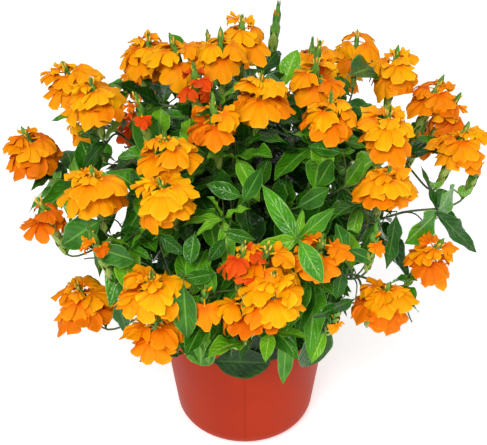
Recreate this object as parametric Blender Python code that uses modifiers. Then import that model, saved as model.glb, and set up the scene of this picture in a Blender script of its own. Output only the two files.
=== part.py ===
"""A potted crossandra in flower: a leafy, many-stemmed house plant in a plain grower's pot.

The pot stands on Z = 0 with its axis on Z, and the front of the plant faces -Y.
Every limb and every mass of foliage is worked out from the sizes below by a seeded rule."""

import math
from collections import namedtuple

import bmesh
import bpy
import numpy as np
from mathutils import Vector
from mathutils.bvhtree import BVHTree

MM = 0.001
UP = np.array((0.0, 0.0, 1.0))
CLEAR = 0.3 * MM  # the gap between two pieces that touch
WELD = 0.0002 * MM

# The pot, a thin tapered grower's pot with a wide round bottom edge
POT_HEIGHT = 140 * MM
POT_FOOT_RADIUS = 60 * MM
POT_MOUTH_RADIUS = 77.5 * MM
POT_WALL = 1.6 * MM
POT_CORNER = 17.5 * MM
RIM_DEPTH = 16 * MM
RIM_STEP = 2.5 * MM
POT_SIDES = 24
POT_RIM_RADIUS = POT_MOUTH_RADIUS + RIM_STEP
HOLE_RADIUS = 5 * MM
HOLE_CIRCLE = 30 * MM
HOLES = 6

# The soil in it
SOIL_LEVEL = 120 * MM
SOIL_DOME = 3 * MM

# The short stem that all boughs leave
TRUNK_HEIGHT = 62 * MM
TRUNK_FOOT = 7.2 * MM
TRUNK_TOP = 4.8 * MM
FLARE = 3.2 * MM
FLARE_HEIGHT = 7 * MM
TRUNK_LEAN = 3 * MM
BOUGH_FOOT = 1.7 * MM
BOUGH_TIP = 1.25 * MM
BOUGH_SPACING = 4.6 * MM
LOWEST_BOUGH = 19 * MM
HIGHEST_BOUGH = 56 * MM
COLLAR = 1.5 * MM  # each limb leaves the trunk straight out for this far
TRUNK_RINGS = 8
BOUGH_RINGS = 5
TWIG_RINGS = 4
LEAFY_RINGS = 6
TRUNK_SIDES = 14
BOUGH_SIDES = 5

# The crown is a low dome of flower heads round its heart
HEART = np.array((0.0, 0.0, 246 * MM))
CROWN = np.array((178 * MM, 178 * MM, 95 * MM))
BOUGH_SHARE = 0.46  # of the way from the trunk to the middle of a shoot's flower heads
FORK_SHARE = 0.70
FORK_STEP = 0.9 * MM  # the twigs of one fork leave it this far apart
STEM_END = 4.2 * MM  # the stem goes on this far past the fork, so that the last leaf there is rooted in it
LIFT = 9 * MM

# A flower head is a green spike with a skirt of one-sided, fan-shaped flowers
SPIKE_LENGTH = 50 * MM
SPIKE_RADIUS = 4.2 * MM
SPIKE_BELOW = 0.67  # the share of the spike below the skirt of flowers
HEAD_RISE = 8 * MM  # the flowers' roots lie this far above the middle of the head, as they droop
FLOWER_LENGTH = 31 * MM
FLOWER_WIDTH = 36 * MM
FLOWER_THICKNESS = 1.3 * MM
TWIG_RADIUS = 0.95 * MM

# Leaves stand in whorls
LEAF_LENGTH = 68 * MM
LEAF_SHAPE = 0.43  # width over length
LEAF_THICKNESS = 1.6 * MM
WHORL_STEP = 2.2 * MM
SCALES = {"flowers": (1.0, 0.88, 0.76), "leaves": (1.0, 0.86, 0.74)}
OWN_START = {"flowers": 0.40, "leaves": 0.34}  # two pieces of one mass may cross only nearer their roots
SWELL = 1.0 * MM  # how much a leaf or flower is swollen when its distance from others is tested

# One row for each flowering shoot: its reach, as a share of the dome, and its heads. Each head
# has the way it lies from the crown's heart, as an azimuth from the front towards the right
# and a tilt above level, in degrees, and its open flowers. A head with none is in bud.
Shoot = namedtuple("Shoot", "name reach heads")
SHOOTS = (
    Shoot("left_crest", 1.05, ((-110, 30, 7), (-86, 50, 7))),
    Shoot("left_tip", 1.02, ((-90, 14, 7),)),
    Shoot("left_middle", 1.00, ((-43, 31, 7), (-58, 10, 4), (-36, 14, 2))),
    Shoot("left_front", 1.00, ((-29, 50, 6), (-22, 37, 7), (-52, 58, 2))),
    Shoot("left_low", 1.00, ((-44, -22, 6), (-21, 3, 6), (-22, -30, 5))),
    Shoot("front_low", 1.00, ((6, 5, 6), (-2, -6, 5), (-12, 2, 2))),
    Shoot("front_middle", 1.00, ((-3, 20, 5), (8, 23, 4))),
    Shoot("front_right", 1.00, ((19, 19, 4), (31, 18, 1), (21, -15, 1))),
    Shoot("left_top", 1.00, ((-120, 58, 7), (-110, 72, 5))),
    Shoot("top_front", 1.00, ((12, 74, 7), (-16, 64, 3), (-48, 74, 4))),
    Shoot("top_back", 1.06, ((-110, 84, 5), (180, 71, 6), (166, 47, 0))),
    Shoot("right_top", 1.00, ((70, 72, 4), (128, 68, 3), (43, 60, 6))),
    Shoot("right_crest", 1.04, ((135, 43, 5), (119, 34, 6))),
    Shoot("right_upper", 1.03, ((108, 30, 6), (103, 19, 4), (89, 21, 7))),
    Shoot("right_middle", 1.00, ((58, 48, 7), (41, 34, 8))),
    Shoot("right_low", 1.00, ((47, 2, 7), (35, -13, 7))),
    Shoot("right_tip", 1.00, ((83, -2, 0),)),
    Shoot("right_rear_low", 0.98, ((123, -5, 5), (140, -17, 4))),
    Shoot("back_right", 0.99, ((150, 9, 6), (159, 27, 5))),
    Shoot("back_low", 0.98, ((172, -14, 5), (-166, -12, 6))),
    Shoot("back_high", 1.00, ((-176, 12, 6), (-169, 36, 5))),
    Shoot("back_left", 0.99, ((-142, 14, 6), (-126, 22, 5), (-150, 34, 5))),
    Shoot("left_rear_low", 0.98, ((-122, -6, 5), (-142, -14, 4))),
)

# One row for each leafy shoot without flowers: the azimuth of its top, how far out and how
# high that is, how far its leaves lift, how much they droop, and how low they may hang. The
# hearts leave the trunk's top and fill the crown's middle with young leaves. The skirts and
# the low ones leave the trunk's side near its foot, and the skirts hang over the pot's rim.
Leafy = namedtuple("Leafy", "name azimuth out height lift droop lowest")
HEARTS = (
    Leafy("heart_left", -98, 58 * MM, 274 * MM, 30, 0.0, 126 * MM),
    Leafy("heart_middle", -30, 30 * MM, 262 * MM, 26, 0.0, 126 * MM),
    Leafy("heart_front", 30, 66 * MM, 250 * MM, 34, 0.0, 126 * MM),
    Leafy("heart_right", 92, 74 * MM, 256 * MM, 30, 0.0, 126 * MM),
    Leafy("heart_back", 158, 70 * MM, 262 * MM, 30, 0.0, 126 * MM),
)
SKIRTS = (
    Leafy("skirt_front", 6, 87 * MM, 160 * MM, -12, 0.25, 100 * MM),
    Leafy("skirt_right", 100, 87 * MM, 162 * MM, -8, 0.15, 126 * MM),
    Leafy("skirt_back", 178, 87 * MM, 162 * MM, -8, 0.15, 126 * MM),
    Leafy("skirt_left", -92, 87 * MM, 162 * MM, -8, 0.15, 126 * MM),
    Leafy("low_left", -66, 52 * MM, 204 * MM, 20, 0.05, 126 * MM),
    Leafy("low_right", 52, 60 * MM, 204 * MM, 16, 0.05, 126 * MM),
)
HEART_CIRCLE = 3.2 * MM

# How many leaves stand in each whorl
AT_TIP = 3
AT_FORK = 3
BY_HEAD = 1
ON_SPRAY = 3
ON_LEAFY = 4
LEAFY_WHORLS = 2
LEAFY_SPRAY = 46 * MM
SPRAY_TURN = 58
SPRAY_LEAF = 0.86
SIDE_SHOOTS = 1
FLOWER_SHARE = 0.62  # of a head's flowers
# No leaf of a flowering shoot hangs below this cone round the pot
UNDERSIDE = 75 * MM
UNDERSIDE_SLOPE = 0.62

Twig = namedtuple("Twig", "points radii")
Spike = namedtuple("Spike", "foot axis length radius")
Flower = namedtuple("Flower", "root way face length width")
Leaf = namedtuple("Leaf", "root way side length droop tone")


def unit(vector):
    return vector / np.linalg.norm(vector)


def direction(azimuth, tilt):
    """The way that points azimuth degrees round from the front and tilt degrees up."""
    a, t = math.radians(azimuth), math.radians(tilt)
    return np.array((math.sin(a) * math.cos(t), -math.cos(a) * math.cos(t), math.sin(t)))


def bend(start, first, second, end, count):
    """Points of the cubic curve from start to end that leaves towards first and comes in from second."""
    t = np.linspace(0.0, 1.0, count)[:, None]
    return (
        (1 - t) ** 3 * start + 3 * t * (1 - t) ** 2 * first + 3 * t * t * (1 - t) * second + t**3 * end
    )


def trunk_radius(height):
    """The trunk tapers evenly and flares out at its foot."""
    taper = TRUNK_FOOT + (TRUNK_TOP - TRUNK_FOOT) * height / TRUNK_HEIGHT
    return taper + FLARE * math.exp(-height / FLARE_HEIGHT)


def trunk_axis(height):
    """The trunk's middle: it leans a little to the right as it rises."""
    share = height / TRUNK_HEIGHT
    return np.array((TRUNK_LEAN * share * share, 0.0, SOIL_LEVEL + SOIL_DOME + CLEAR + height))


def shoot_way(shoot):
    """The way from the crown's heart to the middle of a shoot's heads."""
    return unit(sum(direction(azimuth, tilt) for azimuth, tilt, _ in shoot.heads))


def bough_heights():
    """How high each bough leaves the trunk: the flatter its shoot the lower, and no two too near."""
    taken, heights = [], {}
    around = (TRUNK_FOOT + TRUNK_TOP) / 2
    for shoot in sorted(SHOOTS, key=lambda s: shoot_way(s)[2]):
        way = shoot_way(shoot)
        azimuth = math.atan2(way[0], -way[1])
        height = LOWEST_BOUGH + (HIGHEST_BOUGH - LOWEST_BOUGH) * (way[2] + 0.3) / 1.3
        while any(
            math.hypot(around * math.remainder(azimuth - other, 2 * math.pi), height - taken_height)
            < BOUGH_SPACING
            for other, taken_height in taken
        ):
            height += 0.5 * MM
        taken.append((azimuth, height))
        heights[shoot.name] = height
    return heights


def spike_axis(way, random):
    """Spikes stand up and lean out, the more so the lower they are."""
    level = np.array((way[0], way[1], 0.0))
    jitter = random.normal(0.0, 0.09, 3)
    return unit(UP + (0.30 + 0.35 * max(0.0, -way[2])) * level + jitter)


def head_of(centre, axis, count, random, bloom_random):
    """The spike and the flowers of one head, whose skirt of flowers has its middle at centre."""
    length = SPIKE_LENGTH * random.uniform(0.9, 1.25) * (0.75 if count < 2 else 1.0)
    radius = SPIKE_RADIUS * random.uniform(0.9, 1.1)
    side = unit(np.cross(axis, UP + np.array((0.3, 0.2, 0.0))))
    other = np.cross(axis, side)
    start = random.uniform(0.0, 360.0)
    count = round(FLOWER_SHARE * count)
    flowers = []
    for i in range(count):
        angle = math.radians(start + 360 * i / max(count, 4) + bloom_random.uniform(-9, 9))
        out = math.cos(angle) * side + math.sin(angle) * other
        upper = i % 2
        sag = bloom_random.uniform(0.05, 0.30) if upper else bloom_random.uniform(0.35, 0.62)
        way = unit(out - sag * UP + 0.1 * axis)
        face = unit(np.cross(np.cross(way, axis), way))
        size = bloom_random.uniform(0.9, 1.08) * (0.92 if upper else 1.0)
        root = centre + (3.0 * MM if upper else -2.0 * MM) * axis
        flowers.append(Flower(root, way, face, FLOWER_LENGTH * size, FLOWER_WIDTH * size))
    return Spike(centre - SPIKE_BELOW * length * axis, axis, length, radius), flowers


def whorl(centre, along, count, length, lift, tone, random):
    """A ring of leaves round a twig, by turns larger and smaller, arching out and drooping.

    Each is rooted a little further along the twig than the last."""
    side = unit(np.cross(along, np.array((0.35, 0.6, 0.72))))
    other = np.cross(along, side)
    start, leaves = random.uniform(0.0, 360.0), []
    for i in range(count):
        angle = math.radians(start + 360 * i / count + random.uniform(-14, 14))
        out = math.cos(angle) * side + math.sin(angle) * other
        tip_up = math.radians(lift + random.uniform(-12, 12))
        way = unit(math.cos(tip_up) * out + math.sin(tip_up) * along)
        across = np.cross(way, UP)
        across = unit(across if np.linalg.norm(across) > 0.2 else np.cross(way, side))
        size = length * random.uniform(0.82, 1.12) * (1.0 if i % 2 == 0 else 0.78)
        root = centre + (i - 0.5 * (count - 1)) * WHORL_STEP * along
        leaves.append(Leaf(root, way, across, size, random.uniform(0.16, 0.42), tone))
    return leaves


def whorl_below(path, at, count, length, lift, tone, random):
    """A ring of leaves on the straight stretch of a path that ends at one of its points."""
    along = unit(path[at] - path[at - 1])
    centre = path[at] - (0.5 * (count - 1) * WHORL_STEP + 0.7 * MM) * along
    return whorl(centre, along, count, length, lift, tone, random)


def leaf_points(leaf, shares, widths, thick=0.0):
    """Points on a leaf: at each share of its length, widths half-widths off its midrib.

    The midrib droops with the square of the share."""
    shares, widths = np.asarray(shares)[:, None], np.asarray(widths)[:, None]
    middle = leaf.root + leaf.length * (shares * leaf.way - leaf.droop * shares**2 * UP)
    normal = unit(np.cross(leaf.side, leaf.way))
    half = 0.5 * LEAF_SHAPE * leaf.length
    return middle + widths * half * leaf.side + (0.35 * np.abs(widths) * half + thick) * normal


def flower_points(flower, shares, widths):
    """Points on a fan-shaped flower: at each share of its length, widths half-widths off its middle.

    It droops at its end."""
    shares, widths = np.asarray(shares)[:, None], np.asarray(widths)[:, None]
    across = np.cross(flower.face, flower.way)
    middle = flower.root + flower.length * shares * flower.way
    sag = 0.22 * flower.length * shares**2 + 0.10 * flower.width * widths**2
    return middle + widths * 0.5 * flower.width * across - sag * flower.face


def spray(start, along, way, reach, random):
    """A side twig that leaves along its parent and ends in a rosette of young leaves."""
    path = bend(start, start + 0.4 * reach * along, start + 0.6 * reach * way, start + reach * way, 3)
    leaves = whorl_below(path, 2, ON_SPRAY, SPRAY_LEAF * LEAF_LENGTH, 40, 2, random)
    return Twig(path, np.array((0.95, 0.8, 0.6)) * TWIG_RADIUS), leaves


def plan_shoot(shoot, height, seed):
    """All of one flowering shoot: its bough, stem, twigs, heads and the leaves it would like to have."""
    random = np.random.default_rng(seed)
    leaf_random = np.random.default_rng(seed + 1000)
    bloom_random = np.random.default_rng(seed + 2000)
    mean = shoot_way(shoot)
    middle = HEART + shoot.reach * mean * CROWN
    out = unit(np.array((mean[0], mean[1], 0.0)))
    foot = trunk_axis(height) + (trunk_radius(height) + CLEAR) * out
    tip = foot + BOUGH_SHARE * (middle - foot) + LIFT * UP
    fork = foot + FORK_SHARE * (middle - foot) + 0.6 * LIFT * UP
    along = unit(fork - tip)
    span = np.linalg.norm(tip - foot)
    collar = foot + COLLAR * out
    bough = bend(collar, collar + 0.2 * span * out, tip - 0.4 * span * along, tip, BOUGH_RINGS)
    bough = np.vstack([foot, bough])
    stem = np.array((tip + CLEAR * along, fork + STEM_END * along))
    twigs, spikes, flowers = [Twig(stem, (BOUGH_TIP, TWIG_RADIUS))], [], []
    leaves = whorl(tip + 0.55 * (fork - tip), along, AT_TIP, LEAF_LENGTH, 22, 0, leaf_random)
    leaves += whorl(fork, along, AT_FORK, 0.92 * LEAF_LENGTH, 30, 1, leaf_random)
    for rank, (azimuth, tilt, count) in enumerate(shoot.heads):
        way = direction(azimuth, tilt)
        axis = spike_axis(way, random)
        centre = HEART + shoot.reach * way * CROWN + HEAD_RISE * axis
        spike, blooms = head_of(centre, axis, count, random, bloom_random)
        leaving = fork - rank * FORK_STEP * along
        far = np.linalg.norm(spike.foot - leaving)
        end = spike.foot + 4 * MM * axis
        path = bend(leaving, leaving + 0.35 * far * along, end - 0.4 * far * axis, end, TWIG_RINGS)
        twigs.append(Twig(path, np.linspace(1.0, 0.85, TWIG_RINGS) * TWIG_RADIUS))
        half_way, part_way = 0.5 * (path[1] + path[2]), unit(path[2] - path[1])
        leaves += whorl(half_way, part_way, BY_HEAD, 0.78 * LEAF_LENGTH, 25, 1, leaf_random)
        spikes.append(spike)
        flowers += blooms
    side = unit(np.cross(UP, along))
    rise = np.cross(along, side)
    turn = random.uniform(0.0, 2 * math.pi)
    sprays = []
    for i in range(SIDE_SHOOTS):
        angle = turn + math.pi * i
        way = unit(along + 0.75 * (math.cos(angle) * side + math.sin(angle) * rise) + 0.25 * UP)
        start = tip + (0.5 + 0.3 * i) * (fork - tip)
        sprays.append(spray(start, along, way, random.uniform(26, 38) * MM, leaf_random))
    return {
        "name": shoot.name, "bough": bough, "twigs": twigs, "spikes": spikes, "flowers": flowers,
        "leaves": leaves, "sprays": sprays, "lowest": UNDERSIDE, "slope": UNDERSIDE_SLOPE,
    }


def plan_leafy(leafy, foot, leaving, seed):
    """A leafy shoot that leaves the trunk itself and has no bough.

    It has a stem, two side twigs, and leaves in whorls that grow smaller and more upright
    towards its top."""
    leaf_random = np.random.default_rng(seed + 1000)
    out = direction(leafy.azimuth, 0)
    top = leafy.out * out + leafy.height * UP
    span = np.linalg.norm(top - foot)
    ending = unit(out + 0.03 * leafy.lift * UP)
    collar = foot + COLLAR * leaving
    path = bend(collar, foot + 0.3 * span * leaving, top - 0.3 * span * ending, top, LEAFY_RINGS)
    path = np.vstack([foot, path])
    stem = Twig(path, np.linspace(BOUGH_TIP, 0.7 * TWIG_RADIUS, LEAFY_RINGS + 1))
    leaves = whorl_below(path, LEAFY_RINGS, 4, 0.74 * LEAF_LENGTH, leafy.lift + 20, 2, leaf_random)
    for down in range(1, LEAFY_WHORLS + 1):
        at, size = LEAFY_RINGS - down, (0.94 + 0.08 * down) * LEAF_LENGTH
        leaves += whorl_below(path, at, ON_LEAFY, size, leafy.lift - 5 * down, 1, leaf_random)
    sprays = []
    for turn in (-1, 1):
        start = path[-4]
        way = unit(direction(leafy.azimuth + turn * SPRAY_TURN, 0) + 0.02 * (leafy.lift + 20) * UP)
        sprays.append(spray(start, unit(path[-3] - path[-4]), way, LEAFY_SPRAY, leaf_random))
    leaves = [leaf._replace(droop=leaf.droop + leafy.droop) for leaf in leaves]
    return {
        "name": leafy.name, "bough": None, "twigs": [stem], "spikes": [], "flowers": [],
        "leaves": leaves, "sprays": sprays, "lowest": leafy.lowest, "slope": 0.0,
    }


def plan_plant():
    """Every shoot of the plant, as a dictionary of its pieces."""
    plans = []
    for i, leafy in enumerate(HEARTS):
        start = direction(360 * i / len(HEARTS) - 110, 0)
        foot = trunk_axis(TRUNK_HEIGHT) + CLEAR * UP + HEART_CIRCLE * start
        plans.append(plan_leafy(leafy, foot, UP, 600 + i))
    for i, leafy in enumerate(SKIRTS):
        height = (8 + 2 * (i % 3)) * MM
        out = direction(leafy.azimuth, 0)
        foot = trunk_axis(height) + (trunk_radius(height) + CLEAR) * out
        plans.append(plan_leafy(leafy, foot, out, 500 + i))
    heights = bough_heights()
    for i, shoot in enumerate(SHOOTS):
        plans.append(plan_shoot(shoot, heights[shoot.name], 100 + i))
    return plans


# Plain surfaces, each as its points and its faces


def lens(rim, top, bottom):
    """A closed shell of two fans of triangles, from one ring of points to the middle of each side."""
    count = len(rim)
    faces = [(i, (i + 1) % count, count) for i in range(count)]
    faces += [((i + 1) % count, i, count + 1) for i in range(count)]
    return np.vstack([rim, top, bottom]), faces


def tube(path, radii, sides):
    """A closed tube round a path. Where the last radius is nothing, it ends in a point."""
    path = np.asarray(path, float)
    pointed = radii[-1] == 0
    ways = np.gradient(path, axis=0)
    side = np.cross(unit(ways[0]), np.array((0.31, 0.87, 0.38)))
    rings = []
    angles = 2 * np.pi * np.arange(sides) / sides
    for point, way, radius in zip(path, ways, radii):
        way = unit(way)
        side = unit(side - np.dot(side, way) * way)
        around = np.outer(np.cos(angles), side) + np.outer(np.sin(angles), np.cross(way, side))
        rings.append(point + radius * around)
    count = len(rings) - pointed
    points = np.vstack(rings[:count])
    faces = [tuple(range(sides))[::-1]]
    for r in range(count - 1):
        for i in range(sides):
            j = (i + 1) % sides
            faces.append((r * sides + i, r * sides + j, (r + 1) * sides + j, (r + 1) * sides + i))
    last = (count - 1) * sides
    if pointed:
        points = np.vstack([points, path[-1]])
        faces += [(last + i, last + (i + 1) % sides, len(points) - 1) for i in range(sides)]
    else:
        faces.append(tuple(range(last, last + sides)))
    return points, faces


def leaf_solid(leaf, swell=0.0, start=0.0):
    """The leaf as a thin four-cornered lens of eight faces.

    It is swollen, or cut short at its root, for a test of its distance from others."""
    widest = max(0.44, start + 0.12)
    widths = np.array((0.0, 1.0, 0.0, -1.0)) * (1 + swell / (12 * MM))
    rim = leaf_points(leaf, (start, widest, 1.0, widest), widths)
    half = 0.5 * LEAF_THICKNESS + 0.8 * swell
    middle = [0.5 * (start + 1.0)]
    return lens(rim, leaf_points(leaf, middle, [0.0], half), leaf_points(leaf, middle, [0.0], -half))


def flower_solid(flower, swell=0.0, start=0.0):
    """The flower as a thin five-cornered fan that narrows to its root."""
    widths = np.array((0.0, 0.92, 0.62, -0.62, -0.92)) * (1 + swell / (15 * MM))
    rim = flower_points(flower, (start, 0.58, 1.0, 1.0, 0.58), widths)
    middle = flower_points(flower, [0.66], [0.0])
    half = (0.5 * FLOWER_THICKNESS + 0.8 * swell) * flower.face
    return lens(rim, middle + half, middle - half)


def spike_solid(spike):
    """The spike as a four-sided spindle of bracts that ends in a point."""
    shares = np.array((0.0, 0.22, 0.72, 1.0))[:, None]
    path = spike.foot + spike.length * shares * spike.axis
    return tube(path, np.array((0.4, 1.0, 0.85, 0.0)) * spike.radius, 4)


def twig_solid(twig, swell=0.0):
    """A twig as a three-sided tube."""
    return tube(twig.points, np.asarray(twig.radii) + swell, 3)


def trunk_solid():
    heights = np.linspace(0.0, 1.0, TRUNK_RINGS) ** 1.4 * TRUNK_HEIGHT
    angles = 2 * np.pi * np.arange(TRUNK_SIDES) / TRUNK_SIDES
    ring = np.stack([np.cos(angles), np.sin(angles), 0 * angles], axis=1)
    points = np.vstack([trunk_axis(h) + trunk_radius(h) * ring for h in heights])
    faces = [tuple(range(TRUNK_SIDES))[::-1]]
    for r in range(TRUNK_RINGS - 1):
        for i in range(TRUNK_SIDES):
            j = (i + 1) % TRUNK_SIDES
            low, high = r * TRUNK_SIDES, (r + 1) * TRUNK_SIDES
            faces.append((low + i, low + j, high + j, high + i))
    faces.append(tuple(range((TRUNK_RINGS - 1) * TRUNK_SIDES, TRUNK_RINGS * TRUNK_SIDES)))
    return points, faces


def bough_solid(bough):
    return tube(bough, np.linspace(BOUGH_FOOT, BOUGH_TIP, len(bough)), BOUGH_SIDES)


class Space:
    """What has been placed so far, with its owner, to see whether a new leaf or flower is free."""

    def __init__(self):
        self.owners, self.lows, self.highs, self.trees = [], [], [], []

    def add(self, owner, solid):
        points, faces = solid
        self.owners.append(owner)
        self.lows.append(points.min(axis=0))
        self.highs.append(points.max(axis=0))
        self.trees.append(BVHTree.FromPolygons(points.tolist(), faces))

    def near(self, points):
        """Which of the placed things have a box that meets the box of these points."""
        low, high = points.min(axis=0), points.max(axis=0)
        meets = (np.array(self.lows) < high) & (np.array(self.highs) > low)
        return np.nonzero(meets.all(axis=1))[0]

    def free(self, owner, solid, own_solid=None):
        """Whether the solid meets nothing of other owners, and own_solid nothing of its own."""
        points, faces = solid
        tree = BVHTree.FromPolygons(points.tolist(), faces)
        own_tree = None
        if own_solid is not None:
            own_tree = BVHTree.FromPolygons(own_solid[0].tolist(), own_solid[1])
        for i in self.near(points):
            mine = self.owners[i] == owner
            if mine and own_tree is not None and self.trees[i].overlap(own_tree):
                return False
            if not mine and self.trees[i].overlap(tree):
                return False
        return True


def scaled(thing, scale):
    """The same leaf or flower, smaller."""
    if isinstance(thing, Flower):
        return thing._replace(length=scale * thing.length, width=scale * thing.width)
    return thing._replace(length=scale * thing.length)


def hangs_clear(leaf, plan):
    """Whether no point of the leaf hangs below the crown's underside."""
    points = leaf_points(leaf, (0.3, 0.44, 0.44, 0.75, 1.0), (0.0, 1.0, -1.0, 0.0, 0.0))
    out = np.hypot(points[:, 0], points[:, 1])
    return bool((points[:, 2] > plan["lowest"] + plan["slope"] * out).all())


def keep_to_space(plans):
    """Drops each side twig, flower and leaf that would touch another shoot, a limb or the pot.

    A flower or leaf is first tried smaller. The shoots take turns, so that each gets its share."""
    space = Space()
    space.add("pot", tube([(0, 0, -5 * MM), (0, 0, POT_HEIGHT + MM)],
                          (POT_FOOT_RADIUS + MM, POT_RIM_RADIUS + MM), POT_SIDES))
    space.add("trunk", trunk_solid())
    for plan in plans:
        if plan["bough"] is not None:
            space.add("bough", bough_solid(plan["bough"]))
        for twig in plan["twigs"]:
            space.add(plan["name"], twig_solid(twig))
        for spike in plan["spikes"]:
            space.add(plan["name"], spike_solid(spike))
    for plan in plans:
        for twig, leaves in plan["sprays"]:
            if space.free(plan["name"], twig_solid(twig, SWELL)):
                plan["twigs"].append(twig)
                plan["leaves"] += leaves
                space.add(plan["name"], twig_solid(twig))
    for kind, solid_of in (("flowers", flower_solid), ("leaves", leaf_solid)):
        kept = {plan["name"]: [] for plan in plans}
        for turn in range(max(len(plan[kind]) for plan in plans)):
            for plan in plans:
                if turn >= len(plan[kind]):
                    continue
                for scale in SCALES[kind]:
                    thing = scaled(plan[kind][turn], scale)
                    if kind == "leaves" and not hangs_clear(thing, plan):
                        continue
                    own_solid = solid_of(thing, 0.0, OWN_START[kind])
                    if space.free(plan["name"], solid_of(thing, SWELL), own_solid):
                        kept[plan["name"]].append(thing)
                        space.add(plan["name"], solid_of(thing))
                        break
        for plan in plans:
            plan[kind] = kept[plan["name"]]


# Blender objects


def clear_scene():
    for obj in list(bpy.data.objects):
        bpy.data.objects.remove(obj, do_unlink=True)


def collection_named(name, hidden=False):
    collection = bpy.data.collections.new(name)
    bpy.context.scene.collection.children.link(collection)
    collection.hide_render = hidden
    return collection


def material_of(name, colour, roughness):
    material = bpy.data.materials.new(name)
    material.use_nodes = True
    shader = material.node_tree.nodes["Principled BSDF"]
    shader.inputs["Base Color"].default_value = (*colour, 1.0)
    shader.inputs["Roughness"].default_value = roughness
    shader.inputs["Metallic"].default_value = 0.0
    material.diffuse_color = (*colour, 1.0)
    return material


def object_from(name, solid, collection, material=None):
    """A mesh object from points and faces, turned outwards."""
    points, faces = solid
    mesh = bpy.data.meshes.new(name)
    mesh.from_pydata([Vector(p) for p in points], [], faces)
    work = bmesh.new()
    work.from_mesh(mesh)
    bmesh.ops.recalc_face_normals(work, faces=work.faces)
    if work.calc_volume(signed=True) < 0:
        bmesh.ops.reverse_faces(work, faces=work.faces)
    work.to_mesh(mesh)
    work.free()
    if material:
        mesh.materials.append(material)
    obj = bpy.data.objects.new(name, mesh)
    collection.objects.link(obj)
    return obj


def apply_modifiers(obj):
    graph = bpy.context.evaluated_depsgraph_get()
    mesh = bpy.data.meshes.new_from_object(obj.evaluated_get(graph))
    obj.modifiers.clear()
    obj.data = mesh


def drop_scraps(obj):
    """Keeps only the largest of the mesh's bodies, where faces of one body meet along edges."""
    work = bmesh.new()
    work.from_mesh(obj.data)
    unseen, bodies = set(work.faces), []
    while unseen:
        body, border = set(), {unseen.pop()}
        while border:
            face = border.pop()
            body.add(face)
            for edge in face.edges:
                border.update(other for other in edge.link_faces if other not in body)
        unseen -= body
        bodies.append(body)
    bodies.sort(key=len, reverse=True)
    for body in bodies[1:]:
        bmesh.ops.delete(work, geom=list(body), context="FACES")
    work.to_mesh(obj.data)
    work.free()


def stays_closed(obj):
    """Whether every edge still has two faces once points that nearly coincide are made one."""
    work = bmesh.new()
    work.from_mesh(obj.data)
    bmesh.ops.triangulate(work, faces=work.faces)
    bmesh.ops.remove_doubles(work, verts=work.verts, dist=WELD)
    closed = all(len(edge.link_faces) == 2 for edge in work.edges)
    work.free()
    return closed


def join_mass(plan, collection, material):
    """One mass: its twigs, spikes, flowers and leaves, joined into one body by one union."""
    solids = [twig_solid(twig) for twig in plan["twigs"]]
    solids += [spike_solid(spike) for spike in plan["spikes"]]
    solids += [flower_solid(flower) for flower in plan["flowers"]]
    solids += [leaf_solid(leaf) for leaf in plan["leaves"]]
    mass = object_from("mass_" + plan["name"], solids[0], collection, material)
    pieces = collection_named("pieces_" + plan["name"], hidden=True)
    for solid in solids[1:]:
        object_from("piece", solid, pieces)
    union = mass.modifiers.new("join", "BOOLEAN")
    union.operation = "UNION"
    union.operand_type = "COLLECTION"
    union.collection = pieces
    union.solver = "MANIFOLD"
    apply_modifiers(mass)
    for piece in list(pieces.objects):
        bpy.data.objects.remove(piece, do_unlink=True)
    bpy.data.collections.remove(pieces)
    return mass


def build_mass(plan, collection, material):
    """Joins a mass. Where the union leaves a touching edge, one leaf or flower is left out instead."""
    tries = [plan]
    for kind in ("leaves", "flowers"):
        for i in reversed(range(len(plan[kind]))):
            tries.append({**plan, kind: plan[kind][:i] + plan[kind][i + 1 :]})
    for smaller in tries:
        mass = join_mass(smaller, collection, material)
        drop_scraps(mass)
        if stays_closed(mass):
            return
        bpy.data.objects.remove(mass, do_unlink=True)
    raise ValueError(f"mass {plan['name']} can't be joined into one closed body")


def turned(name, profile, sides, collection, material):
    """A solid of revolution about Z. Its profile runs down the outer side, from top to bottom."""
    mesh = bpy.data.meshes.new(name)
    mesh.from_pydata([(r, 0, z) for r, z in profile], [(i, i + 1) for i in range(len(profile) - 1)], [])
    obj = bpy.data.objects.new(name, mesh)
    collection.objects.link(obj)
    screw = obj.modifiers.new("turn", "SCREW")
    screw.axis = "Z"
    screw.steps = sides
    screw.render_steps = sides
    screw.use_merge_vertices = True
    screw.merge_threshold = 0.00001
    mesh.materials.append(material)
    return obj


def arc(centre_r, centre_z, radius, start, end, count):
    """Points of a round corner in a profile, from one angle to another, in degrees from the +R way."""
    angles = np.radians(np.linspace(start, end, count))
    return [(centre_r + radius * math.cos(a), centre_z + radius * math.sin(a)) for a in angles]


def wall_radius(height):
    """The outer radius of the pot's wall, which is straight from the foot to the mouth."""
    return POT_FOOT_RADIUS + (POT_MOUTH_RADIUS - POT_FOOT_RADIUS) * height / POT_HEIGHT


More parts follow.
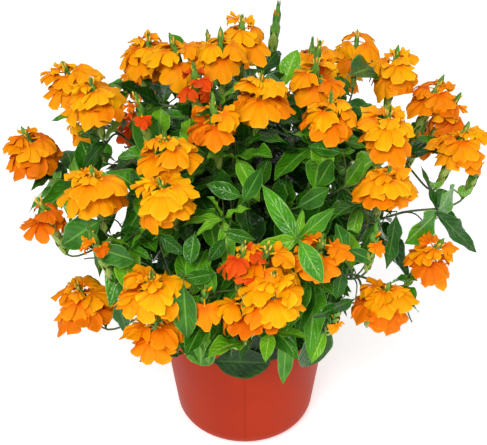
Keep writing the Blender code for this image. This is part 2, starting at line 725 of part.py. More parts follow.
def build_pot(collection, material):
    slope = math.degrees(math.atan2(POT_MOUTH_RADIUS - POT_FOOT_RADIUS, POT_HEIGHT))
    inner = POT_CORNER - POT_WALL
    corner_r = wall_radius(POT_CORNER) - POT_CORNER / math.cos(math.radians(slope))
    rim_low = POT_HEIGHT - RIM_DEPTH
    profile = [
        (POT_RIM_RADIUS - POT_WALL, POT_HEIGHT),
        (POT_RIM_RADIUS, POT_HEIGHT),
        (POT_RIM_RADIUS - 0.4 * RIM_STEP, rim_low),
        (wall_radius(rim_low), rim_low - MM),
    ]
    profile += arc(corner_r, POT_CORNER, POT_CORNER, -slope, -90, 5)
    profile += [(0.0, 0.0), (0.0, POT_WALL)]
    profile += arc(corner_r, POT_CORNER, inner, -90, -slope, 4)
    profile += [
        (wall_radius(rim_low) - POT_WALL, rim_low - MM),
        (POT_RIM_RADIUS - 0.4 * RIM_STEP - POT_WALL, rim_low + 2 * MM),
        (POT_RIM_RADIUS - POT_WALL, POT_HEIGHT),
    ]
    pot = turned("pot", profile, POT_SIDES, collection, material)
    cutters = collection_named("cutters", hidden=True)
    for i in range(HOLES):
        angle = 2 * math.pi * (i + 0.5) / HOLES
        x, y = HOLE_CIRCLE * math.cos(angle), HOLE_CIRCLE * math.sin(angle)
        path = [(x, y, -3 * MM), (x, y, POT_WALL + 3 * MM)]
        hole = object_from(f"drain_hole_{i}", tube(path, (HOLE_RADIUS, HOLE_RADIUS), 10), cutters)
        hole.hide_render = True
        hole.display_type = "WIRE"
    cut = pot.modifiers.new("drain_holes", "BOOLEAN")
    cut.operation = "DIFFERENCE"
    cut.operand_type = "COLLECTION"
    cut.collection = cutters
    cut.solver = "EXACT"
    return pot


def build_soil(collection, material):
    """The soil fills the pot to below its rim, and stands clear of its wall all round."""
    slope = math.degrees(math.atan2(POT_MOUTH_RADIUS - POT_FOOT_RADIUS, POT_HEIGHT))
    corner_r = wall_radius(POT_CORNER) - POT_CORNER / math.cos(math.radians(slope))
    edge = wall_radius(SOIL_LEVEL) - POT_WALL - CLEAR
    top = SOIL_LEVEL + SOIL_DOME
    profile = [
        (0.0, top),
        (2 * (TRUNK_FOOT + FLARE), top),
        (0.7 * edge, SOIL_LEVEL + 0.6 * SOIL_DOME),
        (edge, SOIL_LEVEL),
    ]
    profile += arc(corner_r, POT_CORNER, POT_CORNER - POT_WALL - CLEAR, -slope, -90, 4)
    profile += [(0.0, POT_WALL + CLEAR)]
    return turned("soil", profile, POT_SIDES, collection, material)


def main():
    clear_scene()
    plant = collection_named("potted_crossandra")
    build_pot(plant, material_of("pot_plastic", (0.50, 0.045, 0.022), 0.42))
    build_soil(plant, material_of("soil", (0.035, 0.022, 0.014), 0.95))
    object_from("trunk", trunk_solid(), plant, material_of("trunk_bark", (0.16, 0.11, 0.06), 0.8))
    plans = plan_plant()
    keep_to_space(plans)
    for plan in plans:
        name = plan["name"]
        if plan["bough"] is not None:
            bark = material_of("bark_" + name, (0.15, 0.14, 0.06), 0.7)
            object_from("bough_" + name, bough_solid(plan["bough"]), plant, bark)
        green = material_of("foliage_" + name, (0.06, 0.17, 0.025), 0.4)
        build_mass(plan, plant, green)


main()
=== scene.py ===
"""A potted crossandra in flower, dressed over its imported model: bark, twigs, leaves, bracts and blooms.

The limbs, the flower heads and the larger leaves stand where the part's source puts them. The same seeded
rule is written again here, and is carried on to finer twigs, more leaves and whole blooms."""

import math
from collections import namedtuple

import bmesh
import bpy
import numpy as np
from mathutils import Matrix, Vector
from mathutils.bvhtree import BVHTree


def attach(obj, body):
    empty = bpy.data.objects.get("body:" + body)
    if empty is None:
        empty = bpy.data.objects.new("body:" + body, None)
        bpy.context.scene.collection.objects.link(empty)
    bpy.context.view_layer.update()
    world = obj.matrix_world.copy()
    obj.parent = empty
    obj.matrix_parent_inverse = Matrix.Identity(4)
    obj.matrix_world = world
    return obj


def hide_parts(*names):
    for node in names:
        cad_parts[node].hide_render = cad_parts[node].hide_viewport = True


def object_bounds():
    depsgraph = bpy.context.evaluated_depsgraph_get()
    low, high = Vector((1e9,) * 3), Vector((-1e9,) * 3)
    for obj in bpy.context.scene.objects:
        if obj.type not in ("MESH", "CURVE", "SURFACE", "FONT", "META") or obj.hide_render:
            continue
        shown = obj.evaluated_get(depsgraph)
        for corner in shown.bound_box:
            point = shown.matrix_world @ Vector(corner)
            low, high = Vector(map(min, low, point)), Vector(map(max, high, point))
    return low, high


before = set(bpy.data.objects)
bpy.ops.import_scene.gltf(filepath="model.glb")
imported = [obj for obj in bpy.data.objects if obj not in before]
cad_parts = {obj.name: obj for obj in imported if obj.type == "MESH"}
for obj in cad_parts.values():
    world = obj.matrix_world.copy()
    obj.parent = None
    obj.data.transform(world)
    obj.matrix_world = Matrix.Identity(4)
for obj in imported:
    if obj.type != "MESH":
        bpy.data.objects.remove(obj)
packed_low, packed_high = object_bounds()

MM = 0.001
UP = np.array((0.0, 0.0, 1.0))
LEVEL = np.array((1.0, 1.0, 0.0))
CLEAR = 0.3 * MM

# Ways that a spike or a twig hardly ever points, to find a way sideways from it
SPIKE_GUIDE = UP + np.array((0.3, 0.2, 0.0))
TWIG_GUIDE = np.array((0.35, 0.6, 0.72))

# The photograph's frame in pixels, and where its camera stood
FRAME_WIDTH, FRAME_HEIGHT = 487, 445
AIM = np.array((-1.2 * MM, 0.0, 201.4 * MM))
CAMERA_TILT = 33.0
CAMERA_DISTANCE = 0.905
CAMERA_LENS = 79.8
SENSOR = 36.0
TALL = 1000.0

# The pot and its soil, as the part's source has them
POT_HEIGHT = 140 * MM
POT_FOOT_RADIUS = 60 * MM
POT_MOUTH_RADIUS = 77.5 * MM
POT_WALL = 1.6 * MM
POT_CORNER = 17.5 * MM
RIM_DEPTH = 16 * MM
RIM_STEP = 2.5 * MM
POT_RIM_RADIUS = POT_MOUTH_RADIUS + RIM_STEP
HOLE_RADIUS = 5 * MM
HOLE_CIRCLE = 30 * MM
HOLES = 6
SOIL_LEVEL = 120 * MM
SOIL_DOME = 3 * MM

# The limbs, as the part's source has them
TRUNK_HEIGHT = 62 * MM
TRUNK_FOOT = 7.2 * MM
TRUNK_TOP = 4.8 * MM
FLARE = 3.2 * MM
FLARE_HEIGHT = 7 * MM
TRUNK_LEAN = 3 * MM
BOUGH_FOOT = 1.7 * MM
BOUGH_TIP = 1.25 * MM
COLLAR = 1.5 * MM
HEART = np.array((0.0, 0.0, 246 * MM))
CROWN = np.array((178 * MM, 178 * MM, 95 * MM))
BOUGH_SHARE = 0.46
FORK_SHARE = 0.70
FORK_STEP = 0.9 * MM
STEM_END = 4.2 * MM
LIFT = 9 * MM
SPIKE_LENGTH = 56 * MM
SPIKE_RADIUS = 4.2 * MM
SPIKE_BELOW = 0.69
HEAD_RISE = 9 * MM
HEAD_SPREAD = 10 * MM
HEAD_SAG = 6 * MM
FLOWER_LENGTH = 28 * MM
FLOWER_WIDTH = 34 * MM
TWIG_RADIUS = 0.95 * MM
LEAF_LENGTH = 56 * MM
WHORL_STEP = 2.2 * MM
HEART_CIRCLE = 3.2 * MM

# One row for each flowering shoot: its reach and its heads, each with its azimuth, tilt and open flowers.
# A head's age says how far its colour has turned from marigold to red, and its size is that of its flowers.
Head = namedtuple("Head", "azimuth tilt flowers age size", defaults=(0, 1.0))
Shoot = namedtuple("Shoot", "name reach heads")
SHOOT_ROWS = (
    ("left_crest", 1.03, (-108, 36, 7, 0, 1.02), (-77, 51, 7, 0, 1.0)),
    ("left_tip", 0.97, (-90, 14, 7, 1, 1.05)),
    ("left_middle", 1.00, (-43, 31, 7), (-54, 12, 4, 2, 0.78), (-36, 14, 2, 1, 0.4)),
    ("left_front", 1.00, (-29, 50, 6), (-22, 37, 7), (-52, 58, 2, 3, 0.42)),
    ("left_low", 1.05, (-50, -33, 7, 1, 1.08), (-20, 6, 6), (-20, -19, 5, 1, 0.95)),
    ("front_low", 1.00, (6, 5, 7, -1, 1.06), (0, -4, 5, 1, 0.9), (-9, 3, 1, 2, 0.72)),
    ("front_middle", 1.00, (-1, 18, 3, 4, 0.72), (4, 18, 4, 0, 0.9)),
    ("front_right", 1.00, (17, 20, 4, 1, 0.9), (31, 18, 1, 2, 0.36), (21, -15, 1, 1, 0.4)),
    ("left_top", 1.00, (-117, 60, 7), (-110, 72, 5)),
    ("top_front", 1.00, (12, 74, 7), (-16, 64, 4, 1, 0.85), (-48, 74, 4, 4, 0.62)),
    ("top_back", 1.06, (-110, 84, 5), (-175, 79, 6, 0, 0.95), (168, 48, 0)),
    ("right_top", 1.00, (70, 72, 4), (100, 72, 2, 1, 0.6), (43, 60, 6)),
    ("right_crest", 1.00, (130, 47, 5), (112, 43, 6)),
    ("right_upper", 1.00, (104, 29, 6, 1), (103, 19, 4, 1), (82, 22, 7, 0, 0.96)),
    ("right_middle", 1.00, (58, 48, 7), (41, 34, 8)),
    ("right_low", 1.00, (47, 1, 6, 1, 0.86), (33, -11, 7, 1, 0.92)),
    ("right_tip", 1.03, (83, 7, 0, 0, 0.55)),
    ("right_rear_low", 0.98, (118, -8, 5, 1), (140, -17, 4, 2)),
    ("back_right", 0.99, (150, 9, 6), (159, 15, 5)),
    ("back_low", 0.98, (172, -14, 5, 2), (-166, -12, 6, 1)),
    ("back_high", 1.00, (-176, 12, 6), (-169, 17, 5)),
    ("back_left", 0.99, (-148, 6, 6, 1), (-126, 15, 5), (-150, 24, 5)),
    ("left_rear_low", 0.98, (-126, -10, 5, 0, 0.85), (-143, -18, 4, 3)),
)
SHOOTS = [Shoot(name, reach, [Head(*head) for head in heads]) for name, reach, *heads in SHOOT_ROWS]

# A head's open flowers hang in tiers: how far up the spike each tier is, how steeply its flowers rise at
# first and how far they then bend over, in degrees, and their size
Tier = namedtuple("Tier", "height rise bend size")
TIERS = (Tier(-1.0 * MM, -3, 64, 1.0), Tier(5.5 * MM, 22, 86, 0.88))
YOUNG_TIER = Tier(9 * MM, 46, 100, 0.5)
LONE_TIER = Tier(-1.0 * MM, -42, 34, 1.0)

# How much more the flowers on a head's inner side rise and bend, in degrees
INNER_RISE = -10
INNER_BEND = 4

# How many flowers make a full ring, and how far round from its first two half-open ones stand above it
FULL_RING = 5
YOUNG_TURNS = (0.8, -1.2)

# The age from which a head's lower flowers are no redder than its upper ones, and the reddest tone. On younger
# heads the lower flowers are one tone redder, as painted shade under the upper tier.
OLD_HEAD = 3
AGED_TONE = 4

# A head's buds: how many, from how low to how high they stand in mm, how far they lean, and their colour
Buds = namedtuple("Buds", "count low high lean tone")
BUDS = Buds(4, 3, 8, 0.35, 5)
LONE_BUDS = Buds(3, -8, 6, 0.8, 1)

# One row for each leafy shoot: its top's azimuth, how far out and how high that is, how far its leaves
# lift, how much they droop, and how low they may hang
Leafy = namedtuple("Leafy", "name azimuth out height lift droop lowest", defaults=(0.0, 126 * MM))
HEARTS = (
    Leafy("heart_left", -98, 58 * MM, 274 * MM, 30),
    Leafy("heart_middle", -30, 30 * MM, 262 * MM, 26),
    Leafy("heart_front", 30, 66 * MM, 250 * MM, 34),
    Leafy("heart_right", 92, 74 * MM, 256 * MM, 30),
    Leafy("heart_back", 158, 70 * MM, 262 * MM, 30),
)
SKIRTS = (
    Leafy("skirt_front", 6, 87 * MM, 160 * MM, -12, 0.25, 134 * MM),
    Leafy("skirt_right", 100, 87 * MM, 162 * MM, -8, 0.15),
    Leafy("skirt_back", 178, 87 * MM, 162 * MM, -8, 0.15),
    Leafy("skirt_left", -92, 87 * MM, 162 * MM, -8, 0.15),
    Leafy("low_left", -66, 52 * MM, 204 * MM, 20, 0.05),
    Leafy("low_right", 52, 60 * MM, 204 * MM, 16, 0.05),
)

# How low the leaves of flowering shoots may hang: a height at the axis, and how much it rises outward
UNDERSIDE = 75 * MM
UNDERSIDE_SLOPE = 0.62

# How many points a twig has, and how many leaves of a shoot's side twigs are placed before its own
WAY_POINTS = 12
FIRST_LEAVES = 24

# The side twigs of a flowering and of a leafy shoot: how many, the range of shares of their host's length at
# which they leave it, and the range of their own lengths in mm
SPRAYS = (8, (0.1, 0.75), (20, 40))
LEAFY_SPRAYS = (9, (0.3, 0.85), (26, 52))

# How far a flowering shoot's side twigs turn upwards
SPRAY_LIFT = 0.3

# Whorls of leaves at the bough's tip, at the fork, along the bough, by each head and under it: how many
# leaves, their length, their lift in degrees and their tone; and where along the bough its whorls are
AT_TIP = (5, LEAF_LENGTH, 22, 0)
AT_FORK = (5, LEAF_LENGTH, 30, 1)
ON_BOUGH = (4, LEAF_LENGTH, 15, -1)
BY_HEAD = (4, 0.85 * LEAF_LENGTH, 25, 1)
UNDER_HEAD = (3, 0.7 * LEAF_LENGTH, 35, 2)
BOUGH_SHARES = (0.62, 0.80, 0.97)

# Whorls along a leafy stem: how many leaves each has, and where they are, from the top down
ON_LEAFY = 6
LEAFY_SHARES = (0.84, 0.70, 0.56, 0.42, 0.30)

# The sizes that are tried for a leaf until one is free, and the rows and columns of points that it is built
# with, and checked with from its stalk's end on
LEAF_SCALES = (1.0, 0.86, 0.74, 0.62)
LEAF_GRID = (13, 5)
CHECKED_GRID = (5, 3)
CHECKED_FROM = 0.22

# How far round the twigs over the pot's rim start, in degrees, and how far to the side their leaves lean
APRON_TURNS = (-46, -36, -26, -16, -6, 4, 14, 24, 34, 44)
APRON_FAN = (0.0, -0.55, 0.55)

# How high over the rim's top and how far within its edge those twigs end, in mm, how steeply their leaves
# fall, and how long these are in mm
APRON_RISES = (6, 18)
APRON_INSETS = (2, 8)
APRON_FALLS = (0.45, 0.95)
APRON_LENGTHS = (38, 50)

# How leaves differ from one another, as the ranges that they are drawn from. Every second leaf of a whorl is
# smaller. The leaves over the pot's rim are broad and stiff.
LEAF_SIZES = (0.82, 1.12)
SMALLER_LEAF = 0.78
SPRAY_SIZES = (0.66, 0.96)
LEAF_SHAPES = (0.38, 0.52)
LEAF_DROOPS = (0.16, 0.42)
LEAF_TWISTS = (-0.5, 0.5)
LEAF_RIPPLES = (0.025, 0.065)
BROAD_SHAPES = (0.60, 0.74)
STIFF_DROOPS = (0.0, 0.12)

# How spikes, buds and flowers differ, as the ranges that they are drawn from. A spike with one flower is
# shorter, and one without any is thicker. Spikes lean out, the low ones more, and a little at random.
SPIKE_LENGTHS = (0.9, 1.25)
SPIKE_WIDTHS = (0.9, 1.1)
LONE_SPIKE = 0.7
SHUT_SPIKE = 1.35
SPIKE_JITTER = 0.09
SPIKE_LEAN = 0.30
LOW_SPIKE_LEAN = 0.35
FLOWER_SIZES = (0.88, 1.10)
BUD_LENGTHS = (5, 8.5)
BUD_WIDTHS = (0.6, 1.0)

# How far flowers are turned towards the level, and how many open flowers are built for one that was counted
FLOWER_LEVELLING = np.array((1.0, 1.0, 0.4))
BLOOM_FILL = 1.15

# How far, either way, flowers and buds are turned from their even places on a head, in radians, and how far
# flowers rise and bend beyond their tier's, and leaves lie round and lift beyond their whorl's, in degrees
FIRST_SWAY = 0.25
FLOWER_SWAY = 0.22
BUD_SWAY = 0.4
RISE_SWAY = 16
BEND_SWAY = 20
WHORL_SWAY = 14
LIFT_SWAY = 12

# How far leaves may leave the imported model's box, and what they keep from the pot's wall, rim and soil
BOX_ROOM = 2 * MM
WALL_ROOM = 6 * MM
RIM_ROOM = 2 * MM
SOIL_ROOM = 5 * MM

# Which heads the camera faces, as a cosine. A leaf nearer than such a head by so much keeps so many pixels
# off its middle
FACING = 0.1
HEAD_BEFORE = 4 * MM
HEAD_CLEAR = 23

# Leafy twigs that show in the photograph: the shoot each grows from, where its leaves meet, in pixels across
# and down, how far out in the crown that is, and its leaves' length and lift
Rosette = namedtuple("Rosette", "across down depth length lift")
ROSETTES = {
    "heart_front": ((298, 240, 0.93, 46 * MM, 24),),
    "heart_middle": (
        (222, 220, 0.93, 40 * MM, 24), (186, 122, 0.88, 40 * MM, 24),
    ),
    "left_middle": ((92, 232, 0.92, 44 * MM, 0),),
    "left_low": (
        (132, 258, 0.90, 46 * MM, 0), (196, 262, 0.90, 44 * MM, 6), (190, 300, 0.92, 46 * MM, -10),
    ),
    "right_top": ((346, 78, 0.90, 42 * MM, 40),),
    "right_middle": ((335, 160, 0.90, 44 * MM, 6),),
    "front_right": (
        (352, 236, 0.88, 44 * MM, 0), (318, 300, 0.92, 44 * MM, 0),
    ),
}

# Single leaves that show in the photograph: the shoot each grows from, where its root and its tip show, in
# pixels across and down, how far out in the crown they are, its width as a share of its length, and its tone
Shown = namedtuple("Shown", "across down tip_across tip_down depth shape tone")
SHOWN = {
    "front_right": ((301, 243, 323, 284, 1.20, 0.44, 2),),
    "heart_front": (
        (297, 240, 262, 184, 1.02, 0.28, 2), (297, 240, 335, 208, 1.02, 0.34, 2),
        (297, 240, 252, 249, 1.02, 0.42, 3), (297, 240, 304, 204, 1.02, 0.28, 3),
        (300, 206, 330, 188, 0.94, 0.50, 1),
    ),
    "right_crest": (
        (352, 74, 384, 64, 0.98, 0.36, 1), (354, 78, 368, 102, 0.98, 0.40, 1),
        (344, 104, 381, 114, 0.94, 0.45, 0),
    ),
    "right_middle": (
        (340, 152, 308, 146, 0.98, 0.44, 1), (318, 184, 338, 150, 0.96, 0.56, 1),
        (346, 184, 364, 158, 0.96, 0.44, 2),
    ),
    "right_tip": (
        (437, 213, 420, 164, 1.00, 0.30, 0), (437, 213, 454, 188, 1.00, 0.60, 2),
        (437, 213, 477, 253, 1.00, 0.26, 0), (437, 213, 404, 244, 1.00, 0.46, 2),
        (437, 213, 392, 218, 1.00, 0.34, 1),
    ),
    "right_low": (
        (396, 216, 386, 270, 1.00, 0.38, 0), (342, 272, 336, 300, 0.98, 0.48, 0),
        (352, 300, 312, 318, 0.98, 0.46, 0), (348, 306, 322, 334, 1.00, 0.44, 0),
        (350, 250, 374, 262, 0.98, 0.44, 1), (374, 226, 360, 252, 0.96, 0.50, 0),
    ),
    "left_middle": ((98, 222, 61, 246, 1.00, 0.52, 1),),
    "left_low": (
        (134, 260, 91, 246, 1.00, 0.48, 1), (118, 302, 128, 336, 0.98, 0.44, 0),
        (184, 288, 187, 340, 1.08, 0.40, 1), (212, 274, 178, 280, 1.00, 0.52, 1),
        (194, 236, 190, 264, 0.98, 0.60, 1), (160, 236, 186, 254, 0.96, 0.50, 0),
        (214, 290, 204, 256, 0.98, 0.46, 2),
    ),
    "heart_middle": (
        (224, 240, 208, 262, 0.96, 0.50, 0), (226, 232, 256, 240, 0.98, 0.44, 1),
        (244, 200, 262, 168, 0.94, 0.40, 1), (240, 196, 206, 184, 0.94, 0.44, 1),
    ),
}
ON_POT = {
    "skirt_front": (
        (217, 361, 271, 363, 11 * MM, 0.60, -1), (200, 330, 201, 366, 16 * MM, 0.74, 2),
        (238, 328, 236, 360, 6 * MM, 0.80, -1), (266, 328, 268, 362, 4 * MM, 0.84, -1),
        (287, 330, 283, 385, 15 * MM, 0.25, 2), (296, 326, 294, 358, 5 * MM, 0.70, 0),
        (317, 326, 308, 367, 9 * MM, 0.90, 0), (324, 324, 328, 352, 4 * MM, 0.80, 0),
    ),
}

# Of a shown leaf, how much is stalk, and over how many points of its shoot's stem such leaves' twigs start
STALK_SHARE = 0.08
SHOWN_SPACE = 8

# The open part of the pot: the pixel row that it begins at, and how far it goes to either side
POT_OPEN_BELOW = 364
POT_OPEN_HALF = 80

# Where the photograph shows sky through the crown: pixels across, down, and the opening's radius
SKY = (
    (371, 88, 13), (394, 101, 13), (356, 93, 6), (175, 98, 5), (127, 106, 7), (68, 130, 9), (125, 136, 5),
    (118, 146, 6), (431, 163, 8), (398, 161, 6), (452, 175, 12), (415, 177, 9), (420, 194, 5),
    (403, 215, 10), (60, 219, 6), (115, 222, 4), (104, 276, 4), (341, 315, 6), (340, 8, 24), (20, 90, 26),
    (105, 20, 26), (364, 271, 9), (382, 266, 7), (346, 324, 6), (360, 342, 14), (388, 350, 16),
    (432, 302, 16), (432, 330, 18), (38, 262, 16), (76, 259, 9), (16, 190, 14), (104, 345, 14),
    (70, 352, 18), (128, 356, 12), (20, 236, 10), (452, 270, 12), (60, 268, 12), (354, 281, 7),
    (476, 209, 9), (462, 250, 7), (437, 292, 6),
)

Way = namedtuple("Way", "points radii")
Spike = namedtuple("Spike", "foot axis length radius turn")
Bud = namedtuple("Bud", "root way axis length radius tone")
Flower = namedtuple("Flower", "root way face length width rise bend tone curl phase")
Leaf = namedtuple("Leaf", "root way side length shape droop tone twist ripple phase spray shown",
                  defaults=(-1, 0))


def unit(vectors):
    """Each vector divided by its length."""
    return vectors / np.linalg.norm(vectors, axis=-1, keepdims=True)


def direction(azimuth, tilt):
    """The way that points azimuth degrees round from the front and tilt degrees up."""
    a, t = math.radians(azimuth), math.radians(tilt)
    return np.array((math.sin(a) * math.cos(t), -math.cos(a) * math.cos(t), math.sin(t)))


def bend(start, first, second, end):
    """Points of the cubic curve from start to end that leaves towards first and comes in from second."""
    t = np.linspace(0.0, 1.0, WAY_POINTS)[:, None]
    return (1 - t) ** 3 * start + 3 * t * (1 - t) ** 2 * first + 3 * t * t * (1 - t) * second + t**3 * end


# The camera, whose place also says which leaves would close a gap to the sky
camera_back = direction(0.0, CAMERA_TILT)
camera_place = AIM + CAMERA_DISTANCE * camera_back
camera_right = np.array((1.0, 0.0, 0.0))
camera_up = np.cross(camera_back, camera_right)
FOCAL = CAMERA_LENS / SENSOR * FRAME_WIDTH


def sight(points):
    """Where points show in the photograph, in pixels across and down, and how far off they are."""
    away = points - camera_place
    depth = -(away @ camera_back)
    across = 0.5 * FRAME_WIDTH + FOCAL * (away @ camera_right) / depth
    down = 0.5 * FRAME_HEIGHT - FOCAL * (away @ camera_up) / depth
    return across, down, depth


def on_crown(across, down, share):
    """The nearer point that shows at a pixel and lies on the crown's ellipsoid, at a share of its radii."""
    return on_ellipsoid(across, down, HEART, share * CROWN)


def by_pot(across, down, gap):
    """The nearer point that shows at a pixel and lies a gap outside the pot's rim, on a tall ellipsoid that
    is as good as an upright cylinder there."""
    radius = POT_RIM_RADIUS + gap
    return on_ellipsoid(across, down, np.zeros(3), np.array((radius, radius, TALL)))


def on_ellipsoid(across, down, middle, radii):
    """Where the line of sight through a pixel first meets an ellipsoid. In units of the radii it meets a
    ball, at the smaller root of a quadratic in the way along the line."""
    look = (
        (across - 0.5 * FRAME_WIDTH) / FOCAL * camera_right
        - (down - 0.5 * FRAME_HEIGHT) / FOCAL * camera_up
        - camera_back
    )
    away = (camera_place - middle) / radii
    square, cross, rest = ((look / radii) ** 2).sum(), (look / radii) @ away, away @ away - 1
    return camera_place + (-cross - math.sqrt(max(0.0, cross * cross - square * rest))) / square * look


# The plan of the plant: its limbs, twigs, heads and leaves


class Plan:
    """What one shoot is made of. A leafy shoot has no bough and no heads."""

    bough = None
    spikes = flowers = buds = heads = ()
    slope = 0.0

    def __init__(self, **pieces):
        self.__dict__.update(pieces)


def trunk_radius(height):
    """The trunk tapers evenly, and its foot flares out by an amount that dies away exponentially upwards."""
    taper = TRUNK_FOOT + (TRUNK_TOP - TRUNK_FOOT) * height / TRUNK_HEIGHT
    return taper + FLARE * np.exp(-height / FLARE_HEIGHT)


def trunk_axis(height):
    """The trunk's middle: it leans a little to the right, with the square of the share of its height."""
    share = height / TRUNK_HEIGHT
    return np.array((TRUNK_LEAN * share * share, 0.0, SOIL_LEVEL + SOIL_DOME + CLEAR + height))


def packed_ends(name):
    """The middles of a packed bough's two ends: its foot by the trunk, and its tip."""
    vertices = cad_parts["bough_" + name].data.vertices
    points = np.empty(3 * len(vertices), np.float32)
    vertices.foreach_get("co", points)
    points = points.reshape(-1, 3).astype(float)
    out = np.hypot(points[:, 0], points[:, 1])
    foot = points[out < out.min() + 0.5 * COLLAR].mean(axis=0)
    furthest = points[np.linalg.norm(points - foot, axis=1).argmax()]
    tip = points[np.linalg.norm(points - furthest, axis=1) < 2.2 * BOUGH_TIP].mean(axis=0)
    return foot, tip


def ring_way(angle, side, other):
    """The way that lies at an angle from side towards other."""
    return math.cos(angle) * side + math.sin(angle) * other


def spike_axis(way, random):
    """Spikes stand up and lean out, the more so the lower they are."""
    level = np.array((way[0], way[1], 0.0))
    jitter = random.normal(0.0, SPIKE_JITTER, 3)
    return unit(UP + (SPIKE_LEAN + LOW_SPIKE_LEAN * max(0.0, -way[2])) * level + jitter)


def head_of(centre, axis, outward, head, random, bloom_random):
    """The spike, the open flowers and the buds of one head. Its flowers stand in two tiers by turns, and the
    first of them faces outward. A few flowers alone stand side by side."""
    full = head.flowers > 1
    long = 1.0 if full else LONE_SPIKE if head.flowers else head.size
    length = SPIKE_LENGTH * random.uniform(*SPIKE_LENGTHS) * long
    radius = SPIKE_RADIUS * random.uniform(*SPIKE_WIDTHS) * (1.0 if head.flowers else SHUT_SPIKE)
    side = unit(np.cross(axis, SPIKE_GUIDE))
    other = np.cross(axis, side)
    turn = random.uniform(0.0, 360.0)
    count = math.ceil(BLOOM_FILL * head.flowers) if full else head.flowers
    step = 2 * math.pi / max(count, FULL_RING)
    first = math.atan2(outward @ other, outward @ side) + bloom_random.uniform(-FIRST_SWAY, FIRST_SWAY)
    if count < FULL_RING:
        first -= 0.5 * step * (count - 1)
    tiers = TIERS if full else (LONE_TIER,)
    stand = [(tiers[i % len(tiers)], first + step * i) for i in range(count)]
    if head.flowers > FULL_RING:
        stand += [(YOUNG_TIER, first + more) for more in YOUNG_TURNS]
    flowers, buds = [], []
    for tier, angle in stand:
        out = ring_way(angle + bloom_random.uniform(-FLOWER_SWAY, FLOWER_SWAY), side, other)
        level = unit(out * FLOWER_LEVELLING)
        size = tier.size * head.size * bloom_random.uniform(*FLOWER_SIZES)
        # Each flower's tone steps at random. In the lower tier of a younger head it takes one step more, as
        # painted shade under the upper tier.
        random_tone_and_shade = int(bloom_random.integers(0, 2)) + (tier is TIERS[0] and head.age < OLD_HEAD)
        inner = 0.5 - 0.5 * (out @ outward)
        flowers.append(Flower(
            centre + tier.height * axis + 0.4 * radius * out, level, unit(UP - level[2] * level),
            FLOWER_LENGTH * size, FLOWER_WIDTH * size,
            math.radians(tier.rise + INNER_RISE * inner + bloom_random.uniform(-RISE_SWAY, RISE_SWAY)),
            math.radians(tier.bend + INNER_BEND * inner + bloom_random.uniform(-BEND_SWAY, BEND_SWAY)),
            max(0, min(AGED_TONE, head.age + random_tone_and_shade)), bloom_random.uniform(-1.0, 1.0),
            bloom_random.uniform(0.0, 2 * np.pi),
        ))
    shut = BUDS if full else LONE_BUDS
    for i in range(shut.count):
        angle = first + 2 * math.pi * i / BUDS.count + bloom_random.uniform(-BUD_SWAY, BUD_SWAY)
        out = ring_way(angle, side, other)
        height, long, wide = (
            bloom_random.uniform(*limits) * MM for limits in ((shut.low, shut.high), BUD_LENGTHS, BUD_WIDTHS)
        )
        way = unit(axis + shut.lean * out)
        buds.append(Bud(centre + height * axis, way, axis, long, wide, shut.tone))
    return Spike(centre - SPIKE_BELOW * length * axis, axis, length, radius, turn), flowers, buds


def leaf_from(root, way, side, length, shape, droop, tone, random):
    """One leaf, with a twist, a wavy margin and a phase of its own."""
    twist, ripple = random.uniform(*LEAF_TWISTS), random.uniform(*LEAF_RIPPLES)
    return Leaf(root, way, side, length, shape, droop, tone, twist, ripple, random.uniform(0.0, 2 * np.pi))


def whorl(centre, along, count, length, lift, tone, random):
    """A ring of leaves round a twig, by turns larger and smaller, arching out and drooping."""
    side = unit(np.cross(along, TWIG_GUIDE))
    other = np.cross(along, side)
    start, leaves = random.uniform(0.0, 360.0), []
    for i in range(count):
        angle = math.radians(start + 360 * i / count + random.uniform(-WHORL_SWAY, WHORL_SWAY))
        out = ring_way(angle, side, other)
        tip_up = math.radians(lift + random.uniform(-LIFT_SWAY, LIFT_SWAY))
        way = unit(ring_way(tip_up, out, along))
        across = np.cross(way, UP)
        across = unit(across if np.linalg.norm(across) > 0.2 else np.cross(way, side))
        size = length * random.uniform(*LEAF_SIZES) * (1.0 if i % 2 == 0 else SMALLER_LEAF)
        root = centre + (i - 0.5 * (count - 1)) * WHORL_STEP * along
        shape, droop = random.uniform(*LEAF_SHAPES), random.uniform(*LEAF_DROOPS)
        leaves.append(leaf_from(root, way, across, size, shape, droop, tone, random))
    return leaves


def step_at(path, share):
    """The last of a path's points before a share of its length, and the step from there to the next."""
    at = min(len(path) - 2, int(share * (len(path) - 1)))
    return at, path[at + 1] - path[at]


def whorl_at(path, share, count, length, lift, tone, random):
    """A ring of leaves round a curved twig, at a share of its length."""
    at, step = step_at(path, share)
    part = share * (len(path) - 1) - at
    return whorl(path[at] + part * step, unit(step), count, length, lift, tone, random)


def twig_to(start, along, end, way, thick=0.9, thin=0.5):
    """A twig that leaves along one way and ends at a point along another."""
    far = np.linalg.norm(end - start)
    points = bend(start, start + 0.35 * far * along, end - 0.35 * far * way, end)
    return Way(points, np.linspace(thick, thin, WAY_POINTS) * TWIG_RADIUS)


def side_twig(path, share, reach, lift, random):
    """A side twig that leaves a twig at a share of its length, with a pair of leaves and a rosette."""
    at, step = step_at(path, share)
    along = unit(step)
    side = unit(np.cross(along, TWIG_GUIDE))
    out = ring_way(random.uniform(0.0, 2 * math.pi), side, np.cross(along, side))
    way = unit(0.6 * along + out + lift * UP)
    twig = twig_to(path[at], along, path[at] + reach * way, way)
    length = random.uniform(*SPRAY_SIZES) * LEAF_LENGTH
    leaves = whorl_at(twig.points, 0.96, 4, length, 38, 2, random)
    leaves += whorl_at(twig.points, 0.5, 2, length, 28, 1, random)
    return twig, leaves


